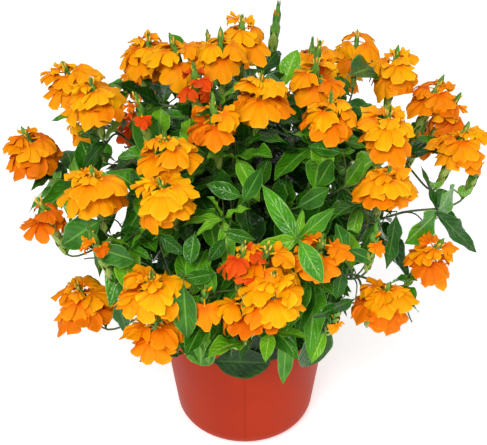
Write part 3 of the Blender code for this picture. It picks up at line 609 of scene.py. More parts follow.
def rosettes(name, path, random):
    """The leafy twigs that the photograph shows growing from this shoot."""
    sprays = []
    for rosette in (Rosette(*row) for row in ROSETTES.get(name, ())):
        end = on_crown(rosette.across, rosette.down, rosette.depth)
        start = path[int(0.7 * len(path))]
        way = unit(0.5 * unit(end - start) + unit(end - HEART) + 0.3 * UP)
        twig = twig_to(start, unit(path[-1] - path[-2]), end, way)
        leaves = whorl(end - 3 * MM * way, way, 5, rosette.length, rosette.lift, 3, random)
        leaves += whorl(end - 14 * MM * way, way, 3, 1.1 * rosette.length, rosette.lift - 14, 2, random)
        sprays.append((twig, leaves))
    return sprays


def shown_leaves(name, path, random):
    """The single leaves that show in the photograph and grow from this shoot. Those with one root share a
    twig. Each blade faces outward from the crown's heart, or from the pot."""
    sprays = []
    for place, rows, calm in ((on_crown, SHOWN, 1.0), (by_pot, ON_POT, 0.3)):
        grown = [Shown(*row) for row in rows.get(name, ())]
        spot = None
        for rank, shown in enumerate(grown):
            root = place(shown.across, shown.down, shown.depth)
            tip = place(shown.tip_across, shown.tip_down, shown.depth)
            start = path[len(path) - 2 - round(SHOWN_SPACE * rank / max(1, len(grown)))]
            way = unit(tip - root)
            length = np.linalg.norm(tip - root) * (1 + STALK_SHARE)
            root = root - STALK_SHARE * length * way
            outward = unit(root - HEART if place is on_crown else root * LEVEL + 0.2 * root[1] * -UP)
            away = unit(root - start)
            side = unit(np.cross(way, outward))
            leaf = leaf_from(root, way, side, length, shown.shape, 0.0, shown.tone, random)
            leaf = leaf._replace(shown=1, twist=0.4 * calm * leaf.twist, ripple=calm * leaf.ripple)
            if spot == shown[:2]:
                sprays[-1][1].append(leaf)
            else:
                leaving = unit(unit(path[-1] - path[-2]) + 2.0 * away)
                twig = twig_to(start, leaving, root, unit(way + outward + 1.5 * away), 0.7, 0.45)
                sprays.append((twig, [leaf]))
            spot = shown[:2]
    return sprays


def apron(leafy, path, random):
    """Short twigs that fan out over the pot's rim, each with broad leaves that hang over it."""
    sprays = []
    start = path[int(0.55 * len(path))]
    for turn in APRON_TURNS:
        out = direction(leafy.azimuth + turn + random.uniform(-4, 4), 0)
        tangent = np.cross(UP, out)
        height = POT_HEIGHT + random.uniform(*APRON_RISES) * MM
        end = (POT_RIM_RADIUS - random.uniform(*APRON_INSETS) * MM) * out + height * UP
        twig = twig_to(start, unit(path[-1] - path[0]), end, unit(out - 0.2 * UP), 0.8, 0.6)
        leaves = []
        for bias in APRON_FAN:
            lean = bias + random.uniform(-0.15, 0.15)
            way = unit(0.62 * out - random.uniform(*APRON_FALLS) * UP + lean * tangent)
            length = random.uniform(*APRON_LENGTHS) * MM
            shape, droop = random.uniform(*BROAD_SHAPES), random.uniform(*STIFF_DROOPS)
            leaves.append(leaf_from(end, way, unit(np.cross(way, UP)), length, shape, droop, -1, random))
        sprays.append((twig, leaves))
    return sprays


def side_twigs(hosts, lift, count, shares, reaches, random):
    """Side twigs that leave the hosts by turns, each at its own share of the host's length."""
    sprays = []
    for i in range(count):
        share, reach = random.uniform(*shares), random.uniform(*reaches) * MM
        sprays.append(side_twig(hosts[i % len(hosts)], share, reach, lift, random))
    return sprays


def plan_shoot(shoot, seed):
    """All of one flowering shoot: its bough, stem, twigs and heads, and the leaves it would like."""
    random, leaf_random, bloom_random, fine_random = (
        np.random.default_rng(seed + more) for more in (0, 1000, 2000, 3000)
    )
    foot, tip = packed_ends(shoot.name)
    middle = foot + (tip - LIFT * UP - foot) / BOUGH_SHARE
    out = unit(middle * LEVEL)
    fork = foot + FORK_SHARE * (middle - foot) + 0.6 * LIFT * UP
    along = unit(fork - tip)
    span = np.linalg.norm(tip - foot)
    collar = foot + COLLAR * out
    bough = np.vstack([foot, bend(collar, collar + 0.2 * span * out, tip - 0.4 * span * along, tip)])
    stem = bend(tip, tip + 0.3 * (fork - tip), fork, fork + STEM_END * along)
    twigs = [Way(stem, np.linspace(BOUGH_TIP, TWIG_RADIUS, WAY_POINTS))]
    spikes, flowers, buds, heads = [], [], [], []
    leaves = whorl(tip + 0.55 * (fork - tip), along, *AT_TIP, leaf_random)
    leaves += whorl(fork, along, *AT_FORK, leaf_random)
    for share in BOUGH_SHARES:
        leaves += whorl_at(bough, share, *ON_BOUGH, leaf_random)
    hosts = [stem]
    for rank, head in enumerate(shoot.heads):
        way = direction(head.azimuth, head.tilt)
        axis = spike_axis(way, random)
        centre = HEART + shoot.reach * way * CROWN + HEAD_RISE * axis
        outward = unit(np.array((way[0], way[1], 0.0)))
        spike, blooms, closed = head_of(centre, axis, outward, head, random, bloom_random)
        leaving = fork - rank * FORK_STEP * along
        far = np.linalg.norm(spike.foot - leaving)
        end = spike.foot + 4 * MM * axis
        path = bend(leaving, leaving + 0.35 * far * along, end - 0.4 * far * axis, end)
        twigs.append(Way(path, np.linspace(1.0, 0.85, WAY_POINTS) * TWIG_RADIUS))
        leaves += whorl_at(path, 0.5, *BY_HEAD, leaf_random)
        leaves += whorl_at(path, 0.85, *UNDER_HEAD, leaf_random)
        hosts.append(path)
        spikes.append(spike)
        flowers += blooms
        buds += closed
        heads.append((centre + HEAD_SPREAD * outward - HEAD_SAG * UP, way, head.flowers))
    sprays = shown_leaves(shoot.name, stem, fine_random) + rosettes(shoot.name, stem, fine_random)
    sprays += side_twigs(hosts, SPRAY_LIFT, *SPRAYS, fine_random)
    return Plan(name=shoot.name, bough=bough, twigs=twigs, spikes=spikes, flowers=flowers, buds=buds,
                leaves=leaves, sprays=sprays, heads=heads, lowest=UNDERSIDE, slope=UNDERSIDE_SLOPE)


def plan_leafy(leafy, foot, leaving, seed):
    """A leafy shoot that leaves the trunk itself: its stem, its side twigs, and its whorls of leaves."""
    leaf_random, fine_random = (np.random.default_rng(seed + more) for more in (1000, 3000))
    out = direction(leafy.azimuth, 0)
    top = leafy.out * out + leafy.height * UP
    span = np.linalg.norm(top - foot)
    ending = unit(out + 0.03 * leafy.lift * UP)
    collar = foot + COLLAR * leaving
    path = np.vstack([foot, bend(collar, foot + 0.3 * span * leaving, top - 0.3 * span * ending, top)])
    stem = Way(path, np.linspace(BOUGH_TIP, 0.7 * TWIG_RADIUS, len(path)))
    leaves = whorl_at(path, 0.97, 4, 0.8 * LEAF_LENGTH, leafy.lift + 20, 2, leaf_random)
    for down, share in enumerate(LEAFY_SHARES):
        size = min(1.1, 1.02 + 0.04 * down) * LEAF_LENGTH
        leaves += whorl_at(path, share, ON_LEAFY, size, leafy.lift - 5 * down, min(1, 2 - down), leaf_random)
    leaves = [leaf._replace(droop=leaf.droop + leafy.droop) for leaf in leaves]
    sprays = shown_leaves(leafy.name, path, fine_random) + rosettes(leafy.name, path, fine_random)
    if leafy.name.startswith("skirt"):
        sprays += apron(leafy, path, fine_random)
    sprays += side_twigs([path], 0.02 * leafy.lift, *LEAFY_SPRAYS, fine_random)
    return Plan(name=leafy.name, twigs=[stem], leaves=leaves, sprays=sprays, lowest=leafy.lowest)


def plan_plant():
    """Every shoot of the plant. The hearts rise from the trunk's top, the skirts leave its sides."""
    plans = []
    for i, leafy in enumerate(HEARTS):
        start = direction(360 * i / len(HEARTS) - 110, 0)
        foot = trunk_axis(TRUNK_HEIGHT) + CLEAR * UP + HEART_CIRCLE * start
        plans.append(plan_leafy(leafy, foot, UP, 600 + i))
    for i, leafy in enumerate(SKIRTS):
        height = (8 + 2 * (i % 3)) * MM
        out = direction(leafy.azimuth, 0)
        foot = trunk_axis(height) + (trunk_radius(height) + CLEAR) * out
        plans.append(plan_leafy(leafy, foot, out, 500 + i))
    return plans + [plan_shoot(shoot, 100 + i) for i, shoot in enumerate(SHOOTS)]


# Surfaces. Each takes columns of many like things and gives one grid of points for each of them.


def columns_of(things):
    """A list of like rows as one row of arrays."""
    return type(things[0])(*(np.array(column, float) for column in zip(*things)))


def spread(values):
    """One number or one vector for each thing, shaped to meet a grid of points."""
    return values[:, None, None, None] if values.ndim == 1 else values[:, None, None, :]


def blade_outline(share, shape):
    """The half-width of a leaf along its length: a thin stalk, then an oval blade with a drawn-out tip, or a
    blunt one where the leaf is broad. Powers of the shares from its base and from its tip give the oval."""
    part = np.clip((share - 0.06) / 0.94, 0.0, 1.0)
    rise = np.interp(shape, (0.56, 0.62), (0.85, 0.60))
    fall = np.interp(shape, (0.54, 0.62), (1.05, 0.60))
    widest = rise / (rise + fall)
    blade = part**rise * (1 - part) ** fall / (widest**rise * (1 - widest) ** fall)
    return 0.97 * blade + 0.05 * np.exp(-((share / 0.1) ** 2))


def leaf_surface(leaf, rows, columns, start=0.0):
    """Leaves as sheets. The midrib droops with the square of the share of its length. Off the midrib
    the blade rises like a shallow V, its margin waves as a sine, and it twists evenly to its tip."""
    s = np.linspace(start, 1.0, rows)[None, :, None, None]
    w = np.linspace(-1.0, 1.0, columns)[None, None, :, None]
    way, side, length = spread(leaf.way), spread(leaf.side), spread(leaf.length)
    normal = unit(np.cross(side, way))
    turn = spread(leaf.twist) * s
    side, normal = np.cos(turn) * side + np.sin(turn) * normal, np.cos(turn) * normal - np.sin(turn) * side
    half = 0.5 * spread(leaf.shape) * length * blade_outline(s, spread(leaf.shape))
    middle = spread(leaf.root) + length * (s * way - spread(leaf.droop) * s**2 * UP)
    wave = np.sin(2 * np.pi * 2.4 * s + spread(leaf.phase) + 1.3 * np.sign(w))
    ripple = spread(leaf.ripple) * length * w**2 * wave * np.sin(np.pi * s)
    return middle + w * half * side + (0.24 * np.abs(w) * half + ripple) * normal


# A flower's lobes: how many, the rows of points along each as shares of its length, the columns across it,
# how far round each stands from the next, half its own angle, how round its end is, and each one's size
PETALS = 5
PETAL_ROWS = (0.0, 0.36, 0.70, 1.0)
PETAL_COLUMNS = 9
PETAL_TURN = math.radians(39)
LOBE_HALF = math.radians(26)
LOBE_ROUND = 0.50
PETAL_SIZES = np.array((0.74, 0.95, 1.0, 0.95, 0.74))

# The tube that carries the lobes, as a share of the flower's length, and the radius at which they start
THROAT = 0.22
THROAT_CORE = 0.8 * MM


def arched(flower, along):
    """Points along each flower's middle line, and the way its upper face looks there. The line leaves the
    spike at the flower's rise and bends over evenly, as an arc of a circle."""
    way, face, rise = spread(flower.way), spread(flower.face), spread(flower.rise)
    turn = spread(flower.bend) / spread(flower.length)
    slope = rise - turn * along
    out = (np.sin(rise) - np.sin(slope)) / turn
    up = (np.cos(slope) - np.cos(rise)) / turn
    return spread(flower.root) + out * way + up * face, np.cos(slope) * face - np.sin(slope) * way


def petal_surface(flower):
    """Flowers as five lobes each, which stand as a fan round the throat. A lobe is a wedge whose end is half
    an ellipse, in angle and distance from the throat. It is a little hollow and lies a little askew, so that
    its one edge covers the next lobe. The fan bends over with its middle line and falls off to its sides."""
    v = np.array(PETAL_ROWS)[None, :, None, None]
    t = np.linspace(-0.5 * np.pi, 0.5 * np.pi, PETAL_COLUMNS)[None, None, :, None]
    a = np.sin(t)
    rank = np.tile(np.arange(PETALS), len(flower.length))
    flower = Flower(*(np.repeat(column, PETALS, axis=0) for column in flower))
    length, width = spread(flower.length), spread(flower.width)
    phase = spread(flower.phase + 1.7 * rank)
    size = spread(PETAL_SIZES[rank]) * (1 + 0.10 * np.sin(3 * phase))
    end = 1 - LOBE_ROUND * (1 - np.cos(t)) + 0.035 * np.sin(6 * a + 2 * phase)
    angle = spread((rank - 2) * PETAL_TURN) + a * LOBE_HALF * (1.10 - 0.10 * v)
    radius = THROAT_CORE + v * ((1 - THROAT) * length * size * end - THROAT_CORE)
    lateral = radius * np.sin(angle)
    place, normal = arched(flower, THROAT * length + radius * np.cos(angle))
    hollow = 1.9 * MM * np.cos(t) * v * (1 - 0.4 * v) + 0.7 * MM * a * v
    curl = (2.4 * spread(flower.curl) + 2.6 * np.sin(phase)) * MM * v**3
    curl = curl + 1.9 * MM * v**2 * np.sin(4.2 * a + phase)
    fall = 0.22 * width * (2 * lateral / width) ** 2
    across = np.cross(spread(flower.face), spread(flower.way))
    return place + lateral * across + (hollow + curl - fall) * normal


def tubes(paths, radii, sides):
    """Tubes round many paths of one count of points, with closed ends. Each ring is a circle square to its
    path."""
    ways = unit(np.gradient(paths, axis=1))
    side = np.cross(ways[:, 0], np.array((0.31, 0.87, 0.38)))
    angles = (2 * np.pi * np.arange(sides) / sides)[None, :, None]
    rings = [np.repeat(paths[:, :1], sides, axis=1)]
    for at in range(paths.shape[1]):
        way = ways[:, at]
        side = unit(side - np.sum(side * way, axis=1, keepdims=True) * way)
        other = np.cross(way, side)
        around = np.cos(angles) * side[:, None] + np.sin(angles) * other[:, None]
        rings.append(paths[:, at, None] + radii[:, at, None, None] * around)
    rings.append(np.repeat(paths[:, -1:], sides, axis=1))
    return np.stack(rings, axis=1)


# The joints of a spike, how many of them from its foot on have old and paler bracts, and a bract's points
BRACT_NODES = 9
OLD_BRACTS = 4
BRACT_ROWS, BRACT_COLUMNS = 5, 4
BRACT_LENGTH = 14 * MM
BRACT_WIDTH = 7.0 * MM


def bract_surface(spikes):
    """Spikes as four ranks of bracts, two at each joint. A bract is an oval scale with a sharp tip, bent
    round the spike as a parabola. The old ones low down are broad and stand off, the young ones are slim and
    shut."""
    node = np.tile(np.repeat(np.arange(BRACT_NODES), 2), len(spikes.length))
    twin = np.tile((0, 1), len(node) // 2)
    spikes = Spike(*(np.repeat(column, 2 * BRACT_NODES, axis=0) for column in spikes))
    share = 0.02 + 0.84 * node / BRACT_NODES
    young = np.clip((share - 0.48) / 0.3, 0.0, 1.0)
    side = unit(np.cross(spikes.axis, SPIKE_GUIDE))
    other = np.cross(spikes.axis, side)
    angle = np.radians(spikes.turn + 90 * node + 180 * twin)[:, None]
    out = np.cos(angle) * side + np.sin(angle) * other
    base = spikes.radius * (0.55 - 0.33 * young) * np.interp(share, (0.0, 0.15), (0.6, 1.0))
    size = np.interp(share, (0.0, 0.2, 0.6, 1.0), (0.75, 1.0, 1.0, 0.9)) * spikes.length / SPIKE_LENGTH
    s = np.linspace(0.0, 1.0, BRACT_ROWS)[None, :, None, None]
    w = np.linspace(-1.0, 1.0, BRACT_COLUMNS)[None, None, :, None]
    full = 0.5 * BRACT_WIDTH * spread(size * (1 - 0.36 * young))
    half = full * np.sin(np.pi * s**0.8) ** 0.8 * (1 - 0.25 * s) + 0.35 * MM * (1 - s)
    across = np.cross(spread(spikes.axis), spread(out))
    along = spread(share * spikes.length) + BRACT_LENGTH * spread(size) * s
    stand = spread((1.3 - 0.5 * young) * MM) * np.sin(0.8 * np.pi * s)
    stand = stand + spread((0.5 - 1.3 * young) * MM) * s**2
    off = spread(base) + stand - 0.45 * w**2 * half
    return spread(spikes.foot) + along * spread(spikes.axis) + off * spread(out) + w * half * across


def spike_cores(spikes):
    """The stalk within the bracts, as a spindle."""
    shares = np.array((0.0, 0.12, 0.3, 0.55, 0.8, 0.97))
    paths = spikes.foot[:, None] + (spikes.length[:, None] * shares)[:, :, None] * spikes.axis[:, None]
    radii = spikes.radius[:, None] * np.array((0.24, 0.42, 0.52, 0.48, 0.28, 0.08))
    return tubes(paths, radii, 5)


def bud_surface(buds):
    """Buds as slim clubs, thickest near their closed ends, that bend up along the spike."""
    shares = np.array((0.0, 0.3, 0.55, 0.8, 0.95, 1.0))
    run = (buds.length[:, None] * shares)[:, :, None]
    paths = buds.root[:, None] + run * buds.way[:, None]
    paths = paths + 0.3 * run * shares[None, :, None] * buds.axis[:, None]
    return tubes(paths, buds.radius[:, None] * np.array((0.5, 0.5, 0.75, 1.0, 0.7, 0.12)), 5)


# Keeping every leaf to its own space, and the sky open


def quads_of(rows, columns, wrap=False):
    """The corners of the quads of one grid of points. A wrapped grid closes from its last column to its
    first."""
    r, c = np.meshgrid(np.arange(rows - 1), np.arange(columns if wrap else columns - 1), indexing="ij")
    low, high = r * columns, (r + 1) * columns
    right = (c + 1) % columns
    return np.stack([low + c, low + right, high + right, high + c], axis=-1).reshape(-1, 4)


def prism(way, first=0, room=0.0):
    """A limb or twig as a tube of three sides, from one of its points on, and that tube's quads."""
    points = tubes(way.points[None, first:], np.asarray(way.radii)[None, first:] + room, 3)[0]
    return points.reshape(-1, 3), quads_of(len(points), 3, wrap=True).tolist()


class Space:
    """What has been placed so far, to see whether a new leaf or twig is free."""

    def __init__(self, room=20000):
        self.lows, self.highs = np.zeros((room, 3)), np.zeros((room, 3))
        self.trees = []

    def add(self, points, faces):
        """Places a surface, with its box and its tree of faces."""
        at = len(self.trees)
        self.lows[at], self.highs[at] = points.min(axis=0), points.max(axis=0)
        self.trees.append(BVHTree.FromPolygons(points.tolist(), faces))

    def free(self, points, faces):
        """Whether a surface crosses none of those placed: first by their boxes, then by their faces."""
        count = len(self.trees)
        below, above = self.lows[:count] < points.max(axis=0), self.highs[:count] > points.min(axis=0)
        near = np.nonzero(below.all(axis=1) & above.all(axis=1))[0]
        if not len(near):
            return True
        tree = BVHTree.FromPolygons(points.tolist(), faces)
        return not any(self.trees[i].overlap(tree) for i in near)


def shuts_sky(points):
    """Whether any point shows within an opening of the photograph's crown, or before the open pot."""
    across, down, _ = sight(points)
    in_front = (np.abs(across - 0.5 * FRAME_WIDTH) < POT_OPEN_HALF) & (points[:, 1] < 0)
    if (in_front & (down > POT_OPEN_BELOW)).any():
        return True
    openings = np.array(SKY, float)
    off = np.hypot(across[:, None] - openings[:, 0], down[:, None] - openings[:, 1])
    return bool((off < openings[:, 2]).any())


def front_heads(plans):
    """The heads that the camera faces, as pixels across and down and how far off they are."""
    heads = [head for plan in plans for head in plan.heads]
    return sight(np.array([centre for centre, way, count in heads if count and way @ camera_back > FACING]))


def hides_head(points, heads):
    """Whether a leaf would stand before the middle of a head that the camera faces."""
    across, down, depth = sight(points)
    off = np.hypot(across[:, None] - heads[0], down[:, None] - heads[1])
    before = depth[:, None] < heads[2] - HEAD_BEFORE
    return bool((before & (off < HEAD_CLEAR)).any())


def hangs_clear(points, plan, shown):
    """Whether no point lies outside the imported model's box. Where the photograph doesn't show the leaf, none
    may hang below the crown's underside."""
    low, high = np.array(packed_low) - BOX_ROOM, np.array(packed_high) + BOX_ROOM
    out = np.hypot(points[:, 0], points[:, 1])
    inside = (points > low).all() and (points < high).all()
    return bool(inside and (shown or (points[:, 2] > plan.lowest + plan.slope * out).all()))


def misses_pot(points):
    """Whether no point lies in the pot, its rim or its soil."""
    out = np.hypot(points[:, 0], points[:, 1])
    over_soil = (points[:, 2] > SOIL_LEVEL + SOIL_ROOM) & (out < POT_MOUTH_RADIUS - WALL_ROOM)
    over_rim = points[:, 2] > POT_HEIGHT + RIM_ROOM
    outside = out > POT_RIM_RADIUS + RIM_ROOM
    return bool((over_soil | over_rim | outside).all())


def free_sprays(plans, space, shown):
    """The leaves of each shoot's side twigs that are free: of those with a leaf that the photograph shows,
    or of the others, which need a little more room."""
    grown = {plan.name: [] for plan in plans}
    for plan in plans:
        for number, (twig, leaves) in enumerate(plan.sprays):
            if bool(leaves[0].shown) != shown:
                continue
            outer, quads = prism(twig, 2, 0.0 if shown else MM)
            if space.free(outer, quads) and misses_pot(outer):
                grown[plan.name] += [leaf._replace(spray=number) for leaf in leaves]
                space.add(*prism(twig))
    return grown


def place_leaves(plans, wanted, space, heads):
    """The leaves of each shoot that are free, each at the largest size that is. The shoots take turns, so
    that each gets its share."""
    leaf_quads = quads_of(*CHECKED_GRID).tolist()
    kept = {name: [] for name in wanted}
    shapes = {}
    for name, leaves in wanted.items():
        for scale in LEAF_SCALES if leaves else ():
            scaled = columns_of(leaves)
            scaled = scaled._replace(length=scale * scaled.length)
            grids = leaf_surface(scaled, *CHECKED_GRID, CHECKED_FROM)
            shapes[name, scale] = grids.reshape(-1, math.prod(CHECKED_GRID), 3)
    for turn in range(max(len(leaves) for leaves in wanted.values())):
        for plan in plans:
            if turn >= len(wanted[plan.name]):
                continue
            leaf = wanted[plan.name][turn]
            for scale in LEAF_SCALES:
                points = shapes[plan.name, scale][turn]
                if not hangs_clear(points, plan, leaf.shown) or not misses_pot(points):
                    continue
                if not leaf.shown and (shuts_sky(points) or hides_head(points, heads)):
                    continue
                if space.free(points, leaf_quads):
                    kept[plan.name].append(leaf._replace(length=scale * leaf.length))
                    space.add(points, leaf_quads)
                    break
    return kept


def keep_to_space(plans):
    """Drops each side twig and leaf that would touch a limb, another leaf or the pot, or shut out the sky.
    The leaves that the photograph shows come first. A side twig that keeps no leaf is dropped too."""
    space = Space()
    for plan in plans:
        bough = [] if plan.bough is None else [Way(plan.bough, np.full(len(plan.bough), BOUGH_FOOT))]
        for limb in plan.twigs + bough:
            space.add(*prism(limb))
    heads = front_heads(plans)
    shown = place_leaves(plans, free_sprays(plans, space, True), space, heads)
    wanted = free_sprays(plans, space, False)
    petal_quads = quads_of(len(PETAL_ROWS), PETAL_COLUMNS).tolist()
    for plan in plans:
        side = wanted[plan.name]
        wanted[plan.name] = side[:FIRST_LEAVES] + plan.leaves + side[FIRST_LEAVES:]
        for petal in petal_surface(columns_of(plan.flowers)) if plan.flowers else ():
            space.add(petal.reshape(-1, 3), petal_quads)
    others = place_leaves(plans, wanted, space, heads)
    for plan in plans:
        plan.leaves = shown[plan.name] + others[plan.name]
        leafy = {leaf.spray for leaf in plan.leaves}
        plan.twigs += [twig for number, (twig, _) in enumerate(plan.sprays) if number in leafy]


# Meshes


Sheaf = namedtuple("Sheaf", "points faces grain tones")


def sheaf_of(grids, tones, wrap=False):
    """Many grids of points as one lot of points and quads. Its grain is each point's column and row, as
    shares."""
    count, rows, columns = grids.shape[:3]
    quads = quads_of(rows, columns, wrap)
    faces = (quads[None] + (np.arange(count) * rows * columns)[:, None, None]).reshape(-1, 4)
    across, along = np.meshgrid(np.linspace(0, 1, columns), np.linspace(0, 1, rows))
    grain = np.broadcast_to(np.stack([across, along], axis=-1), (count, rows, columns, 2))
    tones = np.broadcast_to(np.asarray(tones, int), (count,))
    return Sheaf(grids.reshape(-1, 3), faces, grain.reshape(-1, 2), np.repeat(tones, len(quads)))


def mesh_piece(name, sheaves, materials, slot, *nodes):
    """One finished piece from sheaves of quads, standing for the named CAD nodes."""
    starts = np.cumsum([0] + [len(sheaf.points) for sheaf in sheaves])
    placed = [sheaf._replace(faces=sheaf.faces + start) for sheaf, start in zip(sheaves, starts)]
    points, faces, grain, tones = (np.concatenate(column) for column in zip(*placed))
    mesh = bpy.data.meshes.new(name)
    mesh.vertices.add(len(points))
    mesh.vertices.foreach_set("co", points.astype(np.float32).ravel())
    mesh.loops.add(faces.size)
    mesh.loops.foreach_set("vertex_index", faces.astype(np.int32).ravel())
    mesh.polygons.add(len(faces))
    mesh.polygons.foreach_set("loop_start", np.arange(0, faces.size, 4, dtype=np.int32))
    mesh.polygons.foreach_set("material_index", tones.astype(np.int32))
    mesh.polygons.foreach_set("use_smooth", np.ones(len(faces), bool))
    layer = mesh.uv_layers.new(name="grain")
    layer.data.foreach_set("uv", grain[faces.ravel()].astype(np.float32).ravel())
    mesh.update(calc_edges=True)
    work = bmesh.new()
    work.from_mesh(mesh)
    bmesh.ops.remove_doubles(work, verts=work.verts, dist=1e-7)
    work.to_mesh(mesh)
    work.free()
    for material in materials:
        mesh.materials.append(material)
    piece = bpy.data.objects.new(name, mesh)
    bpy.context.scene.collection.objects.link(piece)
    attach(piece, "root")
    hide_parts(*nodes)


# Finishes


def linear(red, green, blue):
    """A colour given as the screen shows it, from 0 to 255, as Blender wants it."""
    shares = np.array((red, green, blue)) / 255
    values = np.where(shares < 0.04045, shares / 12.92, ((shares + 0.055) / 1.055) ** 2.4)
    return (*values.tolist(), 1.0)


def add(tree, kind, values=None, **settings):
    """Adds a shader node, sets it up, and sets or links its inputs."""
    made = tree.nodes.new("ShaderNode" + kind)
    for name, value in settings.items():
        setattr(made, name, value)
    for key, value in (values or {}).items():
        if isinstance(value, bpy.types.NodeSocket):
            tree.links.new(value, made.inputs[key])
        else:
            made.inputs[key].default_value = value
    return made


def calc(tree, operation, first, second=0.0, third=0.0):
    """The result of one step of arithmetic."""
    return add(tree, "Math", {0: first, 1: second, 2: third}, operation=operation).outputs[0]


def times(tree, first, second):
    """The product of two values."""
    return calc(tree, "MULTIPLY", first, second)


def ramp(tree, value, low, high):
    """A smooth step of value from low to high."""
    return add(tree, "MapRange", {"Value": value, "From Min": low, "From Max": high},
               interpolation_type="SMOOTHSTEP").outputs["Result"]


def blend_colours(tree, share, first, second):
    """The first colour, with a share of the second mixed in."""
    return add(tree, "Mix", {0: share, 6: first, 7: second}, data_type="RGBA").outputs[2]


def group(name, inputs, outputs):
    """A new node group with number sockets of these names, its input node and its output node."""
    tree = bpy.data.node_groups.new(name, "ShaderNodeTree")
    for names, way in ((inputs, "INPUT"), (outputs, "OUTPUT")):
        for socket in names:
            tree.interface.new_socket(socket, in_out=way, socket_type="NodeSocketFloat")
    return tree, tree.nodes.new("NodeGroupInput"), tree.nodes.new("NodeGroupOutput")


def mottle_group():
    """Broad patches and fine specks that lie in the object's own space."""
    tree, given, out = group("mottle", ("Patch Scale", "Speck Scale"), ("Patch", "Speck"))
    place = add(tree, "TexCoord").outputs["Object"]
    patch = add(tree, "TexNoise", {"Vector": place, "Scale": given.outputs[0], "Detail": 3.0})
    speck = add(tree, "TexNoise", {"Vector": place, "Scale": given.outputs[1], "Detail": 2.0})
    tree.links.new(ramp(tree, patch.outputs["Fac"], 0.32, 0.68), out.inputs["Patch"])
    tree.links.new(ramp(tree, speck.outputs["Fac"], 0.3, 0.7), out.inputs["Speck"])
    return tree


def grain_of(tree):
    """Where a leaf or petal is across and along its own grain, and how far off its midline."""
    grain = add(tree, "SeparateXYZ", {0: add(tree, "UVMap", uv_map="grain").outputs[0]})
    off = calc(tree, "ABSOLUTE", calc(tree, "MULTIPLY_ADD", grain.outputs[0], 2.0, -1.0))
    return grain.outputs[0], grain.outputs[1], off


def vein_group():
    """A leaf's midrib and side veins, the blade that swells between them, and its margin, by its own grain.
    The side veins are the teeth of a saw wave along the leaf, swept back by a power of the way out."""
    tree, given, out = group("leaf_veins", ("Veins",), ("Vein", "Swell", "Edge"))
    _, along, off = grain_of(tree)
    run = times(tree, calc(tree, "POWER", off, 1.3), 2.0)
    order = calc(tree, "SUBTRACT", times(tree, along, given.outputs[0]), run)
    saw = calc(tree, "ABSOLUTE", calc(tree, "MULTIPLY_ADD", calc(tree, "FRACT", order), 2.0, -1.0))
    side_vein = times(tree, ramp(tree, saw, 0.84, 1.0), ramp(tree, off, 0.98, 0.7))
    vein = calc(tree, "MAXIMUM", ramp(tree, off, 0.11, 0.04), times(tree, side_vein, 0.18))
    tree.links.new(vein, out.inputs["Vein"])
    fold = calc(tree, "SUBTRACT", 1.0, calc(tree, "POWER", saw, 2.0))
    inner = times(tree, fold, ramp(tree, off, 1.0, 0.7))
    tree.links.new(times(tree, inner, ramp(tree, off, 0.02, 0.16)), out.inputs["Swell"])
    tree.links.new(ramp(tree, off, 0.88, 0.97), out.inputs["Edge"])
    return tree


def petal_group():
    """A petal's throat, where its deeper orange is partly painted shade, its pale rim and its fine streaks, by
    the petal's own grain.
    """
    tree, given, out = group("petal_grain", ("Streaks",), ("Throat", "Rim", "Streak"))
    across, along, off = grain_of(tree)
    tree.links.new(ramp(tree, along, 0.55, 0.0), out.inputs["Throat"])
    edge = calc(tree, "MAXIMUM", ramp(tree, along, 0.86, 1.0), ramp(tree, off, 0.9, 1.0))
    tree.links.new(edge, out.inputs["Rim"])
    stretch = add(tree, "CombineXYZ", {0: across, 1: times(tree, along, 0.15)}).outputs[0]
    lines = add(tree, "TexNoise", {"Vector": stretch, "Scale": given.outputs[0], "Detail": 2.0})
    tree.links.new(ramp(tree, lines.outputs["Fac"], 0.3, 0.7), out.inputs["Streak"])
    return tree


MOTTLE, VEINS, PETAL = mottle_group(), vein_group(), petal_group()


def new_finish(name, roughness, **settings):
    """A material, its node tree and its shader."""
    material = bpy.data.materials.new(name)
    material.use_nodes = True
    tree = material.node_tree
    shader = tree.nodes["Principled BSDF"]
    shader.inputs["Roughness"].default_value = roughness
    for key, value in settings.items():
        shader.inputs[key.replace("_", " ")].default_value = value
    return material, tree, shader


def mottle_of(tree, patch, speck):
    """The patches and the specks of a finish, at scales of its own."""
    made = add(tree, "Group", {"Patch Scale": patch, "Speck Scale": speck}, node_tree=MOTTLE)
    return made.outputs["Patch"], made.outputs["Speck"]


def finished(material, tree, shader, colour, plain, strength=0.0, depth=0.0, height=None):
    """The material, once its colour and its bump reach the shader."""
    tree.links.new(colour, shader.inputs["Base Color"])
    material.diffuse_color = plain
    if height is not None:
        bump = add(tree, "Bump", {"Strength": strength, "Distance": depth, "Height": height})
        tree.links.new(bump.outputs[0], shader.inputs["Normal"])
    return material


def leaf_finish(name, dark, light, vein):
    """Leaf green: mottled between two greens, paler along its veins and thin margin, quilted, and glossy."""
    material, tree, shader = new_finish(name, 0.24, Specular_IOR_Level=0.24)
    veins = add(tree, "Group", {"Veins": 7.0}, node_tree=VEINS)
    patch, speck = mottle_of(tree, 55.0, 300.0)
    green = blend_colours(tree, patch, linear(*dark), linear(*light))
    share = times(tree, calc(tree, "MAXIMUM", veins.outputs["Vein"], veins.outputs["Edge"]), 0.62)
    tree.links.new(calc(tree, "MULTIPLY_ADD", speck, 0.14, 0.17), shader.inputs["Roughness"])
    swell = times(tree, veins.outputs["Swell"], calc(tree, "ADD", patch, 0.3))
    height = calc(tree, "MULTIPLY_ADD", speck, 0.6, swell)
    colour = blend_colours(tree, share, green, linear(*vein))
    return finished(material, tree, shader, colour, linear(*light), 0.7, 0.6 * MM, height)


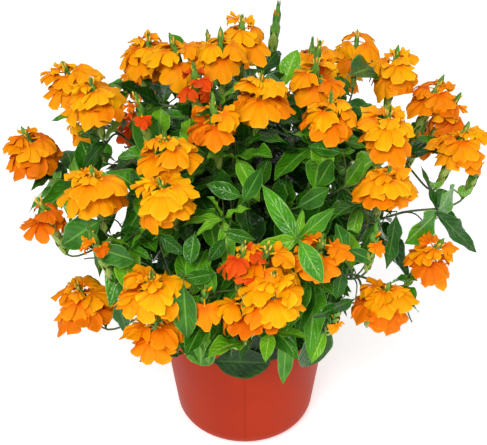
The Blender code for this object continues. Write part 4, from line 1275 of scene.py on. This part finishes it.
def petal_finish(name, main, throat, rim):
    """Petal: deeper towards the throat, partly its own colour and partly painted shade where the lobes close
    into the tube,
     and in patches; a little paler at the rim, with faint streaks along it."""
    material, tree, shader = new_finish(name, 0.6, Specular_IOR_Level=0.1)
    grain = add(tree, "Group", {"Streaks": 9.0}, node_tree=PETAL)
    patch, _ = mottle_of(tree, 45.0, 500.0)
    colour = linear(*main)
    # The throat mask deepens the colour towards the throat, partly as painted shade where the lobes close into
    # the tube. The patches and streaks are the petal's own.
    for mask, share in ((grain.outputs["Throat"], 0.9), (patch, 0.3), (grain.outputs["Streak"], 0.28)):
        colour = blend_colours(tree, times(tree, mask, share), colour, linear(*throat))
    colour = blend_colours(tree, times(tree, grain.outputs["Rim"], 0.4), colour, linear(*rim))
    return finished(material, tree, shader, colour, linear(*main), 0.35, 0.5 * MM, grain.outputs["Streak"])


def stem_finish(name, dark, light, roughness=0.6, scale=60.0, depth=0.4):
    """Green stem, bark or compost: mottled between two colours, with fine raised specks."""
    material, tree, shader = new_finish(name, roughness)
    patch, speck = mottle_of(tree, scale, 700.0)
    colour = blend_colours(tree, patch, linear(*dark), linear(*light))
    return finished(material, tree, shader, colour, linear(*light), 0.5, depth * MM, speck)


def pot_finish():
    """Brick-red moulded plastic: faint scuffs and dust, and a thin dark seam down its front and back."""
    material, tree, shader = new_finish("pot_plastic", 0.5, Specular_IOR_Level=0.1)
    patch, speck = mottle_of(tree, 18.0, 900.0)
    place = add(tree, "SeparateXYZ", {0: add(tree, "TexCoord").outputs["Object"]})
    seam = ramp(tree, calc(tree, "ABSOLUTE", place.outputs[0]), 1.6 * MM, 0.2 * MM)
    colour = blend_colours(tree, times(tree, patch, 0.6), linear(162, 40, 10), linear(176, 51, 16))
    colour = blend_colours(tree, times(tree, seam, 0.3), colour, linear(134, 26, 4))
    tree.links.new(calc(tree, "MULTIPLY_ADD", patch, 0.12, 0.44), shader.inputs["Roughness"])
    height = calc(tree, "ADD", seam, times(tree, speck, 0.15))
    return finished(material, tree, shader, colour, linear(200, 70, 42), 0.3, 0.2 * MM, height)


LEAF_GREENS = (
    leaf_finish("leaf_deep", (16, 48, 8), (26, 70, 12), (60, 104, 34)),
    leaf_finish("leaf_dark", (24, 68, 10), (38, 94, 14), (84, 134, 48)),
    leaf_finish("leaf_middle", (32, 88, 10), (54, 118, 16), (112, 166, 62)),
    leaf_finish("leaf_bright", (50, 118, 12), (78, 152, 20), (142, 194, 80)),
    leaf_finish("leaf_young", (84, 154, 20), (118, 186, 32), (172, 214, 96)),
)
# Each petal colour: its main colour, the deeper colour towards its throat, which is partly painted shade, and
# its rim colour.
PETAL_COLOURS = (
    petal_finish("petal_marigold", (248, 184, 0), (240, 122, 0), (252, 202, 40)),
    petal_finish("petal_orange", (246, 168, 0), (234, 106, 0), (250, 186, 30)),
    petal_finish("petal_amber", (242, 147, 0), (228, 88, 0), (248, 170, 24)),
    petal_finish("petal_deep", (230, 122, 0), (210, 74, 0), (244, 152, 22)),
    petal_finish("petal_aged", (228, 84, 8), (200, 48, 4), (240, 118, 30)),
    petal_finish("petal_bud", (244, 190, 70), (222, 196, 92), (250, 170, 50)),
)
BRACT_GREEN = stem_finish("bract_green", (74, 132, 34), (112, 166, 54), 0.5, 90.0)
BRACT_PALE = stem_finish("bract_pale", (124, 150, 52), (160, 182, 80), 0.5, 90.0)
TWIG_GREEN = stem_finish("twig_green", (66, 90, 40), (104, 120, 62))
BARK_GREEN = stem_finish("bark_green", (86, 92, 48), (122, 122, 68), 0.7, 60.0, 0.6)
BARK_BROWN = stem_finish("bark_brown", (88, 66, 42), (130, 104, 70), 0.85, 60.0, 0.9)
SOIL_DARK = stem_finish("soil_compost", (34, 24, 18), (72, 54, 38), 0.95, 120.0, 1.2)
POT_RED = pot_finish()


# Building the pieces


def ridges(points, seed, fineness):
    """A sum of sine waves in random ways through space, for bark and soil."""
    waves = 24
    random = np.random.default_rng(seed)
    ways = random.normal(0.0, 1.0, (waves, 3)) * fineness * random.uniform(0.5, 2.0, (waves, 1))
    phases = random.uniform(0.0, 2 * np.pi, waves)
    return np.sin(points @ ways.T + phases).sum(axis=-1) / math.sqrt(waves)


def build_trunk():
    """The trunk as rings round its leaning axis. Its radius tapers, flares at the foot and is furrowed."""
    sides, rings = 40, 44
    heights = np.linspace(0.0, 1.0, rings) ** 1.3 * TRUNK_HEIGHT
    angles = 2 * np.pi * np.arange(sides) / sides
    ring = np.stack([np.cos(angles), np.sin(angles), 0 * angles], axis=1)
    middles = np.array([trunk_axis(height) for height in heights])
    radii = trunk_radius(heights)[:, None, None]
    plain = middles[:, None] + radii * ring
    furrow = ridges(plain * np.array((1.0, 1.0, 0.25)), 11, 420.0)[:, :, None]
    grid = plain + 0.35 * MM * (furrow - 1.0) * ring
    grid = np.concatenate([
        np.repeat(middles[:1, None], sides, axis=1), grid, np.repeat(middles[-1:, None], sides, axis=1),
    ])
    mesh_piece("trunk_bark", [sheaf_of(grid[None], 0, wrap=True)], [BARK_BROWN], "trunk_bark", "trunk")


def build_boughs(plans):
    """The boughs as tubes that taper to their tips, with a slight ring at each joint."""
    grown = [plan for plan in plans if plan.bough is not None]
    paths = np.array([plan.bough for plan in grown])
    fine = np.linspace(0, paths.shape[1] - 1, 34)
    low = np.minimum(fine.astype(int), paths.shape[1] - 2)
    part = (fine - low)[None, :, None]
    paths = paths[:, low] * (1 - part) + paths[:, low + 1] * part
    share = np.linspace(0.0, 1.0, len(fine))
    radii = BOUGH_FOOT + (BOUGH_TIP - BOUGH_FOOT) * share
    radii = radii + 0.22 * MM * np.maximum(0, np.cos(2 * np.pi * 5 * share)) ** 8
    grids = tubes(paths, np.tile(radii, (len(paths), 1)), 10)
    grain = 0.10 * MM * ridges(grids * np.array((1.0, 1.0, 0.4)), 12, 900.0)[..., None]
    centre = np.concatenate([paths[:, :1], paths, paths[:, -1:]], axis=1)[:, :, None]
    away = grids - centre
    away = away / np.maximum(np.linalg.norm(away, axis=-1, keepdims=True), 1e-6)
    inner = slice(1, -1)
    grids[:, inner] += (grain * away)[:, inner]
    nodes = ["bough_" + plan.name for plan in grown]
    mesh_piece("bough_bark", [sheaf_of(grids, 0, wrap=True)], [BARK_GREEN], "trunk_bark", *nodes)


def arc(centre_r, centre_z, radius, start, end, count):
    """Points of a round corner in a profile, from one angle to another, in degrees from the +R way."""
    angles = np.radians(np.linspace(start, end, count))
    return np.stack([centre_r + radius * np.cos(angles), centre_z + radius * np.sin(angles)], axis=1)


def wall_radius(height):
    """The outer radius of the pot's wall, which is straight from the foot to the mouth."""
    return POT_FOOT_RADIUS + (POT_MOUTH_RADIUS - POT_FOOT_RADIUS) * height / POT_HEIGHT


# How far the wall leans from upright, in degrees, and how far out the middle of its foot's round corner is
WALL_SLOPE = math.degrees(math.atan2(POT_MOUTH_RADIUS - POT_FOOT_RADIUS, POT_HEIGHT))
CORNER_MIDDLE = wall_radius(POT_CORNER) - POT_CORNER / math.cos(math.radians(WALL_SLOPE))

# Between which circles round the pot's axis the drain holes lie
HOLE_INNER, HOLE_OUTER = 20 * MM, 41 * MM


def turned(profile, sides):
    """A profile of radii and heights carried round the Z axis."""
    angles = 2 * np.pi * np.arange(sides) / sides
    rows, heights = profile[:, 0, None], np.repeat(profile[:, 1, None], sides, axis=1)
    return np.stack([rows * np.cos(angles), rows * np.sin(angles), heights], axis=-1)


def drain_patch(sides, rows):
    """One sixth of the ring that the drain holes lie in. It passes from the hole's circle to the sector's
    own outline, by turns of the same angle round the hole's middle."""
    turn = 2 * np.pi * np.arange(sides) / sides
    circle = HOLE_CIRCLE + HOLE_RADIUS * np.cos(turn), HOLE_RADIUS * np.sin(turn)
    bulge = np.maximum(np.abs(np.cos(turn)), np.abs(np.sin(turn)))
    square_x, square_y = np.cos(turn) / bulge, np.sin(turn) / bulge
    radius = 0.5 * (HOLE_INNER + HOLE_OUTER) + 0.5 * (HOLE_OUTER - HOLE_INNER) * square_x
    sector = np.pi / HOLES * square_y
    outline = radius * np.cos(sector), radius * np.sin(sector)
    share = np.linspace(0.0, 1.0, rows)[:, None]
    x = circle[0] + share * (outline[0] - circle[0])
    y = circle[1] + share * (outline[1] - circle[1])
    return x, y


def build_pot():
    """The pot: a turned wall with its rim, and a floor with its ring of drain holes."""
    sides = 120
    rim_low = POT_HEIGHT - RIM_DEPTH
    lip = 0.5 * POT_WALL
    outer = np.vstack([
        arc(POT_RIM_RADIUS - lip, POT_HEIGHT - lip, lip, 180, 0, 9),
        [(POT_RIM_RADIUS - 0.1 * RIM_STEP, POT_HEIGHT - 0.3 * RIM_DEPTH)],
        [(POT_RIM_RADIUS - 0.4 * RIM_STEP, rim_low + 0.6 * MM)],
        [(POT_RIM_RADIUS - 0.55 * RIM_STEP, rim_low)],
        [(wall_radius(rim_low) + 0.3 * MM, rim_low - 0.3 * MM)],
        [(wall_radius(rim_low), rim_low - 1.2 * MM)],
        np.stack([wall_radius(h := np.linspace(0.8 * POT_HEIGHT, POT_CORNER + 4 * MM, 8)), h], axis=1),
        arc(CORNER_MIDDLE, POT_CORNER, POT_CORNER, -WALL_SLOPE, -90, 12),
        [(HOLE_OUTER, 0.0)],
    ])
    inside = np.vstack([
        [(HOLE_OUTER, POT_WALL)],
        arc(CORNER_MIDDLE, POT_CORNER, POT_CORNER - POT_WALL, -90, -WALL_SLOPE, 10),
        [(wall_radius(rim_low) - POT_WALL, rim_low - MM)],
        [(POT_RIM_RADIUS - 0.4 * RIM_STEP - POT_WALL, rim_low + 2 * MM)],
        arc(POT_RIM_RADIUS - lip, POT_HEIGHT - lip, lip, 180, 180, 1),
    ])
    middle_low = np.array([(HOLE_INNER, 0.0), (0.5 * HOLE_INNER, 0.0), (0.0, 0.0)])
    middle_high = np.array([(0.0, POT_WALL), (0.5 * HOLE_INNER, POT_WALL), (HOLE_INNER, POT_WALL)])
    sheaves = [sheaf_of(turned(part, sides)[None, ::-1], 0, wrap=True)
               for part in (outer, inside, middle_low, middle_high)]
    x, y = drain_patch(80, 5)
    low, high = 0 * x, 0 * x + POT_WALL
    wall = np.stack([np.tile(x[0], (2, 1)), np.tile(y[0], (2, 1)), np.array([low[0], high[0]])], axis=-1)
    patches = [np.stack([x, y, low], axis=-1), wall, np.stack([x, y, high], axis=-1)[::-1]]
    for patch in patches:
        copies = []
        for i in range(HOLES):
            angle = 2 * np.pi * (i + 0.5) / HOLES
            spin = np.array([[math.cos(angle), math.sin(angle), 0], [-math.sin(angle), math.cos(angle), 0],
                             [0, 0, 1]])
            copies.append(patch @ spin)
        sheaves.append(sheaf_of(np.array(copies)[:, ::-1], 0, wrap=True))
    mesh_piece("pot_shell", sheaves, [POT_RED], "pot_plastic", "pot")


def build_soil():
    """The compost: a disc of rings, lumpy on top, that fills the pot to its level."""
    sides = 140
    edge = wall_radius(SOIL_LEVEL) - POT_WALL - CLEAR
    radii = np.linspace(0.0, edge - 0.6 * MM, 46)
    heights = SOIL_LEVEL + SOIL_DOME * np.clip(1.15 - (radii / edge) ** 2, 0.0, 1.0)
    top = turned(np.stack([radii, heights], axis=1), sides)
    lumps = ridges(top, 21, 500.0) + 0.6 * ridges(top, 22, 1300.0)
    calm = np.clip((edge - radii) / (6 * MM), 0.15, 1.0)
    calm = calm * np.clip((radii - TRUNK_FOOT - FLARE) / (6 * MM), 0.1, 1.0)
    top[:, :, 2] += 0.7 * MM * (lumps - 1.2) * calm[:, None]
    profile = np.vstack([
        [(edge, SOIL_LEVEL - 1.5 * MM)],
        arc(CORNER_MIDDLE, POT_CORNER, POT_CORNER - POT_WALL - CLEAR, -WALL_SLOPE, -90, 9),
        [(0.0, POT_WALL + CLEAR)],
    ])
    grid = np.concatenate([top, turned(profile, sides)])
    mesh_piece("soil_surface", [sheaf_of(grid[None, ::-1], 0, wrap=True)], [SOIL_DARK], "soil", "soil")


def region_of(plan):
    """The part of the crown that a shoot's pieces are joined into."""
    first = plan.name.split("_")[0]
    return "skirt" if first == "low" else first


# Below which height the leaves darken as painted shade, and over how much height they darken by one tone
SHADED_BELOW = 180 * MM
SHADED_BELOW_FADE = 14 * MM


def green_of(leaf, random):
    """Which green a leaf gets: young ones are bright, and the deeper or lower in the crown the darker, as
    painted shade.
    """
    # Painted shade: the nearer a leaf's root lies to the heart, and the further it lies below that height, the
    # darker its green.
    deep = np.linalg.norm((leaf.root - HEART) / CROWN)
    old = max(0.0, (SHADED_BELOW - leaf.root[2]) / SHADED_BELOW_FADE)
    level = 0.8 + 1.1 * leaf.tone + 1.2 * (deep - 0.55) - old + random.normal(0.0, 0.8)
    return int(np.clip(1 + leaf.tone if leaf.shown else round(level), 0, 4))


def all_of(members, kind):
    """The things of one kind of many shoots, as columns. There may be none."""
    things = [thing for plan in members for thing in getattr(plan, kind)]
    return columns_of(things) if things else None


def build_foliage(plans):
    """Joins each region's leaves, blooms, spikes and twigs, each kind into a piece of its own."""
    regions = {}
    for plan in plans:
        regions.setdefault(region_of(plan), []).append(plan)
    random = np.random.default_rng(77)
    for region, members in regions.items():
        nodes = ["mass_" + plan.name for plan in members]
        greens = [green_of(leaf, random) for plan in members for leaf in plan.leaves]
        blades = leaf_surface(all_of(members, "leaves"), *LEAF_GRID)
        mesh_piece("leaves_" + region, [sheaf_of(blades, greens)], LEAF_GREENS, "foliage", *nodes)
        twigs = []
        for count in (WAY_POINTS, WAY_POINTS + 1):
            like = [twig for plan in members for twig in plan.twigs if len(twig.points) == count]
            if like:
                like = columns_of(like)
                twigs.append(sheaf_of(tubes(like.points, like.radii, 6), 0, wrap=True))
        mesh_piece("twigs_" + region, twigs, [TWIG_GREEN], "green_bark", *nodes)
        spikes = all_of(members, "spikes")
        if spikes:
            tones = np.tile(np.repeat(np.arange(BRACT_NODES) < OLD_BRACTS, 2), len(spikes.length))
            bracts = [sheaf_of(bract_surface(spikes), tones), sheaf_of(spike_cores(spikes), 0, wrap=True)]
            mesh_piece("spikes_" + region, bracts, [BRACT_GREEN, BRACT_PALE], "bracts", *nodes)
            build_blooms("blooms_" + region, all_of(members, "flowers"), all_of(members, "buds"), nodes)


# How far along a flower, as shares of its length, its tube is how wide
TUBE_SHARES = np.array((0.02, 0.15, 0.28, THROAT + 0.02))
TUBE_RADII = np.array((0.6, 0.6, 0.8, 1.4)) * MM


def build_blooms(name, flowers, buds, nodes):
    """One region's open flowers, each on its own thin tube that widens to the throat, and its buds."""
    petals = sheaf_of(petal_surface(flowers), np.repeat(flowers.tone.astype(int), PETALS))
    along = flowers.length[:, None, None, None] * TUBE_SHARES[None, :, None, None]
    paths = arched(flowers, along)[0][:, :, 0]
    throats = sheaf_of(tubes(paths, np.tile(TUBE_RADII, (len(paths), 1)), 5), 0, wrap=True)
    closed = sheaf_of(bud_surface(buds), buds.tone.astype(int), wrap=True)
    mesh_piece(name, [petals, throats, closed], PETAL_COLOURS, "petals", *nodes)


# The stage, the lights and the camera

FLOOR_HALF = 6.0
FLOOR_BELOW = 0.2 * MM


def build_stage():
    """A flat white floor that glows a little, in place of the photograph's white ground."""
    material, tree, shader = new_finish("floor_paper", 0.9, Specular_IOR_Level=0.0, Emission_Strength=0.42)
    shader.inputs["Emission Color"].default_value = (1.0, 1.0, 1.0, 1.0)
    patch, _ = mottle_of(tree, 3.0, 60.0)
    colour = blend_colours(tree, patch, linear(246, 246, 246), linear(250, 250, 250))
    finished(material, tree, shader, colour, linear(248, 248, 248))
    corners = [(x * FLOOR_HALF, y * FLOOR_HALF, 0.0) for x, y in ((-1, -1), (1, -1), (1, 1), (-1, 1))]
    mesh = bpy.data.meshes.new("floor")
    mesh.from_pydata(corners, [], [(0, 1, 2, 3)])
    mesh.materials.append(material)
    floor = bpy.data.objects.new("floor", mesh)
    floor.location.z = -FLOOR_BELOW
    bpy.context.scene.collection.objects.link(floor)


def add_light(name, place, size, power):
    """A soft square white light that faces the plant."""
    data = bpy.data.lights.new(name, "AREA")
    data.shape, data.size, data.energy = "SQUARE", size, power
    light = bpy.data.objects.new(name, data)
    bpy.context.scene.collection.objects.link(light)
    light.location = place
    aim = Vector(AIM) - Vector(place)
    light.rotation_euler = aim.to_track_quat("-Z", "Y").to_euler()


def build_light():
    """An even white world, and three soft lights: the key at the front left, a fill, and one behind."""
    world = bpy.data.worlds.new("studio")
    world.use_nodes = True
    world.node_tree.nodes["Background"].inputs["Color"].default_value = (1.0, 1.0, 1.0, 1.0)
    world.node_tree.nodes["Background"].inputs["Strength"].default_value = 0.42
    bpy.context.scene.world = world
    add_light("key", (-0.35, -1.4, 1.5), 0.6, 25.0)
    add_light("fill", (1.3, -1.2, 0.9), 1.2, 6.0)
    add_light("back", (0.3, 1.4, 1.5), 1.0, 8.0)
    bpy.context.scene.view_settings.view_transform = "Standard"


def build_camera():
    """The camera of the photograph: its own right, up and back ways are the columns of its turn."""
    data = bpy.data.cameras.new("photo_camera")
    data.lens, data.sensor_width = CAMERA_LENS, SENSOR
    camera = bpy.data.objects.new("photo_camera", data)
    bpy.context.scene.collection.objects.link(camera)
    turn = Matrix((camera_right, camera_up, camera_back)).transposed()
    camera.matrix_world = Matrix.Translation(camera_place) @ turn.to_4x4()
    bpy.context.scene.camera = camera


plans = plan_plant()
keep_to_space(plans)
build_pot()
build_soil()
build_trunk()
build_boughs(plans)
build_foliage(plans)
build_stage()
build_light()
build_camera()
